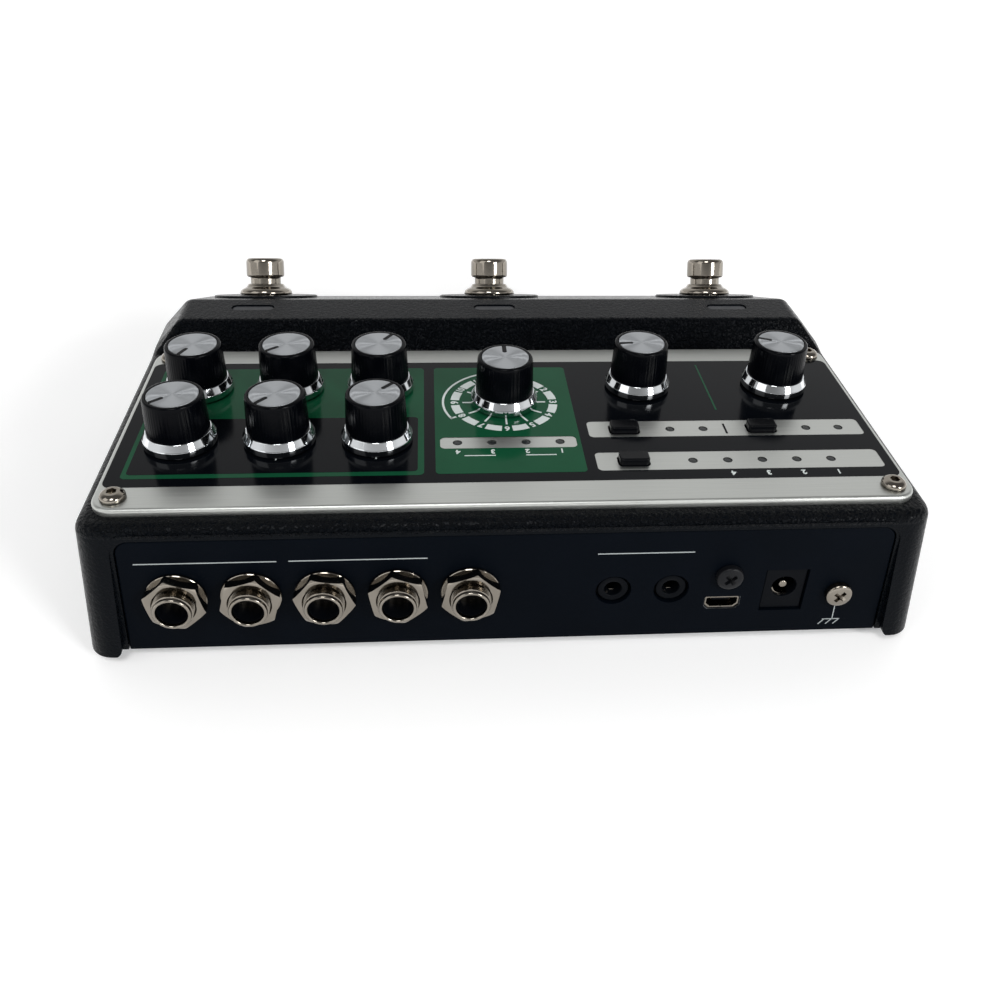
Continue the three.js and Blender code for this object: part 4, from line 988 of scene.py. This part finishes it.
def place_large_sockets():
    nut, washer = model_nut()
    bush, core = model_bush(), model_socket_core()
    spring = rounded_box("spring", (-0.6, -2.9, -14), (0.6, 2.9, -12.6), 0.3, 3, 0.3, 3)
    for i, (x, turn) in enumerate(JACKS, 1):
        spot = facing_rear(x, JACK_RISE)
        hex_nut = copied(nut, f"hex_nut_{i}", facing_rear(x, JACK_RISE, turn))
        done(hex_nut, nickel, "unit", "nickel", f"jack_nut_{i}", sharp=25)
        done(copied(washer, f"washer_{i}", spot), nickel, "unit", "nickel")
        done(copied(bush, f"socket_bush_{i}", spot), nickel, "unit", "nickel", f"jack_{i}")
        done(copied(core, f"socket_core_{i}", spot), socket_plastic, "unit", "black_plastic")
        done(copied(spring, f"tip_spring_{i}", spot), nickel, "unit", "nickel")
    remove(nut, washer, bush, core, spring)


def place_mini_sockets():
    nozzle = turned("nozzle", [(3.5, -15.9), (3.5, -0.75), (3.4, -0.6), (3.25, -0.55), (2.2, -0.55),
                               (2.05, -0.65), (1.97, -0.85), (1.95, -14)], 64)
    block = rounded_box("block", (-4, -3.5, -15.9), (4, 6.4, -1.9), 0.4, 3)
    nozzle = joined(nozzle, cut(block, turned("bore", [(3, -20), (3, 0)], 32)))
    leaf = rounded_box("leaf", (-0.6, 1.6, -7), (0.6, 1.9, -2.4), 0.14, 3, 0.1, 2)
    for i, x in enumerate(MINI_JACKS, 1):
        spot = facing_rear(x, MINI_JACK_RISE)
        done(copied(nozzle, f"mini_nozzle_{i}", spot), socket_plastic, "unit", "black_plastic",
             f"mini_jack_{i}")
        done(copied(leaf, f"mini_contact_{i}", spot), nickel, "unit", "nickel")
    remove(nozzle, leaf)


def place_data_socket():
    """The shell stands a little behind the plate, so the bare edge of the plate's hole shows below it."""
    spot = upright(*DATA_SOCKET)
    shell = cut(slab("data_shell", data_outline(0), 0.35, 5.6), slab("hollow", data_outline(0.3), -1, 5.2))
    seam = rounded_box("seam", (-0.1, -1.7, -1), (0.1, -1.2, 3))
    done(place(cut(shell, seam), spot), nickel, "unit", "nickel", "data_socket")
    tongue = rounded_box("data_tongue", (-2.1, 0, 1.2), (2.1, 0.6, 5.3))
    done(place(tongue, spot), socket_plastic, "unit", "black_plastic")
    contacts = [rounded_box("data_contacts", (x, -0.1, 1.5), (x + 0.4, 0.1, 4.5), 0.1, 2)
                for x in (-1.5, -0.85, -0.2, 0.45, 1.1)]
    done(place(joined(*contacts), spot), nickel, "unit", "nickel")
    edge = slab("data_hole_edge", data_outline(-0.3), 0.1, 1.5)
    cut(edge, slab("hollow", data_outline(-0.24), 0, 2))
    done(place(edge, spot), zinc, "unit", "sheet_black")


def place_power_socket():
    spot = facing_rear(*POWER_SOCKET)
    to_axis = moved(0, -0.7, 0)
    shell = rounded_box("power_shell", (-4.8, -5.8, -13.4), (4.8, 5.8, -0.55), 0.35, 3, 0.25, 3)
    bore = place(turned("bore", [(2.85, -12.5), (2.85, -0.75), (3, -0.5), (3, 1)], 64), to_axis)
    done(place(cut(shell, bore), spot), socket_plastic, "unit", "black_plastic", "power_socket")
    pin = turned("power_pin", [(1.05, -12.7), (1.05, -1.7), (1, -1.45), (0.85, -1.27), (0.6, -1.2),
                               (0.1, -1.18)], 32)
    done(place(pin, spot @ to_axis), nickel, "unit", "nickel")
    angles = [radians(15 + 8 * k) for k in range(14)]
    liner = [(2.8 * cos(a), 2.8 * sin(a)) for a in angles]
    liner += [(2.5 * cos(a), 2.5 * sin(a)) for a in reversed(angles)]
    done(place(slab("power_spring", liner, -9, -1.1), spot @ to_axis), nickel, "unit", "nickel")


place_large_sockets()
place_mini_sockets()
place_data_socket()
place_power_socket()


# Screws, feet and what lies inside

def place_panel_screws():
    screw = turned("screw", [(1.45, -6.8), (1.45, 0.1), (2.7, 0.1), (2.8, 0.2), (2.8, 0.55), (2.73, 0.83),
                             (2.55, 1.1), (2.28, 1.35), (1.98, 1.53), (1.8, 1.62), (1.66, 1.68),
                             (1.5, 1.7)], 64)
    cut(screw, slab("hex_cutter", hexagon(2), 0.7, 3))
    for name, (x, depth) in PANEL_SCREWS.items():
        spot = moved(x, y_at(depth), PANEL_TOP) @ Matrix.Rotation(radians(x + depth), 4, "Z")
        done(copied(screw, f"panel_bolt_{name}", spot), nickel, "unit", "nickel", f"panel_screw_{name}")
    remove(screw)


def cross_cutters(top, length=4.5, width=1.25, deep=1.2):
    """The four-armed recess of a screw head, narrowing towards its foot."""
    cutters = []
    for turn in (40, 130):
        arm = rounded_box("arm", (-length / 2, -width / 2, top - deep), (length / 2, width / 2, top + 1))
        edit(arm)
        choose(arm, "verts", lambda v: v.co.z < (top - deep + 0.01) * MM)
        bpy.ops.transform.resize(value=(0.4, 0.5, 1), center_override=(0, 0, (top - deep) * MM))
        close_edit()
        cutters.append(place(arm, Matrix.Rotation(radians(turn), 4, "Z")))
    return cutters


def model_pan_screw():
    screw = turned("screw", [(1.45, -4.5), (1.45, 0.1), (3, 0.1), (3.1, 0.2), (3.1, 1.2), (3.06, 1.4),
                             (2.94, 1.58), (2.72, 1.72), (2.4, 1.83), (2, 1.91), (1.6, 1.96), (1.2, 1.99),
                             (0.9, 2)], 64)
    return cut(screw, *cross_cutters(2))


COVER_SCREWS = [(x, y) for x in (-90.3, 90.3) for y in (44.4, -6.3, -57.1)]


def place_pan_screws():
    """The two screws at the rear, and six that hold the bottom cover from below."""
    screw = model_pan_screw()
    done(copied(screw, "bracket_bolt", facing_rear(*BRACKET_SCREW)), blackened_steel, "unit", "black_screw",
         "bracket_screw")
    done(copied(screw, "ground_bolt", facing_rear(*GROUND_SCREW, 12)), nickel, "unit", "nickel",
         "ground_screw")
    down = Matrix.Rotation(pi, 4, "X")
    for i, (x, y) in enumerate(COVER_SCREWS):
        spot = moved(x, y, RIM + 0.1) @ down @ Matrix.Rotation(i, 4, "Z")
        done(copied(screw, f"cover_bolt_{i + 1}", spot), blackened_steel, "unit", "black_screw")
    remove(screw)


def place_feet():
    foot = turned("foot", [(5.1, 0.35), (5.2, 0.1), (5.5, 0), (5.75, 0.05), (5.95, 0.3), (6.4, 1.9),
                           (6.5, 2.3), (6.5, 2.78)], 64)
    for name in ("rear_left", "rear_right", "front_left", "front_right"):
        low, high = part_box(f"foot_{name}")
        x, y = (low + high)[:2]
        pad = copied(foot, f"foot_pad_{name}", moved(x / 2 / MM, y / 2 / MM, 0))
        done(pad, foot_rubber, "unit", "rubber", f"foot_{name}")
    remove(foot)


def paint(material, *nodes):
    for name in nodes:
        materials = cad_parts[name].data.materials
        materials.clear()
        materials.append(material)


place_panel_screws()
place_pan_screws()
place_feet()
paint(zinc, "bottom_cover")
paint(board_green, "control_board", "socket_board")


# Floor, lamps and world

def add_floor():
    deselect()
    bpy.ops.mesh.primitive_plane_add(size=12, location=(0, 0, 0))
    floor = bpy.context.object
    floor.name = "floor"
    white = linear("#ffffff")
    material, shader = new_material("white_paper", Base_Color=white, Roughness=0.9, Specular_IOR_Level=0,
                                    Emission_Color=white)
    rays = add_node(material, "ShaderNodeLightPath").outputs
    seen = rays["Is Camera Ray"]
    for kind in ("Is Glossy Ray", "Is Transmission Ray"):
        seen = add_node(material, "ShaderNodeMath", {0: seen, 1: rays[kind]}, operation="ADD").outputs[0]
    spot = add_node(material, "ShaderNodeTexCoord").outputs["Object"]
    reach = add_node(material, "ShaderNodeVectorMath", {0: spot}, operation="LENGTH").outputs["Value"]
    glow = ramp(material, reach, 0.15, 0.6, 0.15, 1)
    link(material, shader, "Emission Strength", times(material, seen, glow))
    floor.data.materials.append(material)


def add_lamp(name, place_m, size, watts):
    data = bpy.data.lights.new(name, "AREA")
    data.size = size
    data.energy = watts
    lamp = bpy.data.objects.new(name, data)
    lamp.location = place_m
    lamp.rotation_euler = (-Vector(place_m)).to_track_quat("-Z", "Y").to_euler()
    bpy.context.scene.collection.objects.link(lamp)


def add_world():
    """A white surround to well above the horizon, with a dim ceiling on the sockets' side."""
    world = bpy.data.worlds.new("studio")
    bpy.context.scene.world = world
    world.use_nodes = True
    direction = add_node(world, "ShaderNodeTexCoord").outputs["Generated"]
    split = add_node(world, "ShaderNodeSeparateXYZ", {"Vector": direction})
    ceiling = ramp(world, split.outputs["Z"], 0.22, 0.45)
    near_side = ramp(world, split.outputs["Y"], -0.6, -0.2)
    background = world.node_tree.nodes["Background"]
    background.inputs["Color"].default_value = linear("#ffffff")
    strength = ramp(world, times(world, ceiling, near_side), 0, 1, 1, 0.2)
    world.node_tree.links.new(strength, background.inputs["Strength"])


add_floor()
add_lamp("key", (-0.85, 0.95, 0.6), 0.35, 9)
add_lamp("top", (0.1, 0.8, 1.1), 0.4, 6)
add_lamp("fill", (0.95, 0.6, 0.8), 0.8, 3)
add_world()
bpy.context.scene.view_settings.view_transform = "Standard"
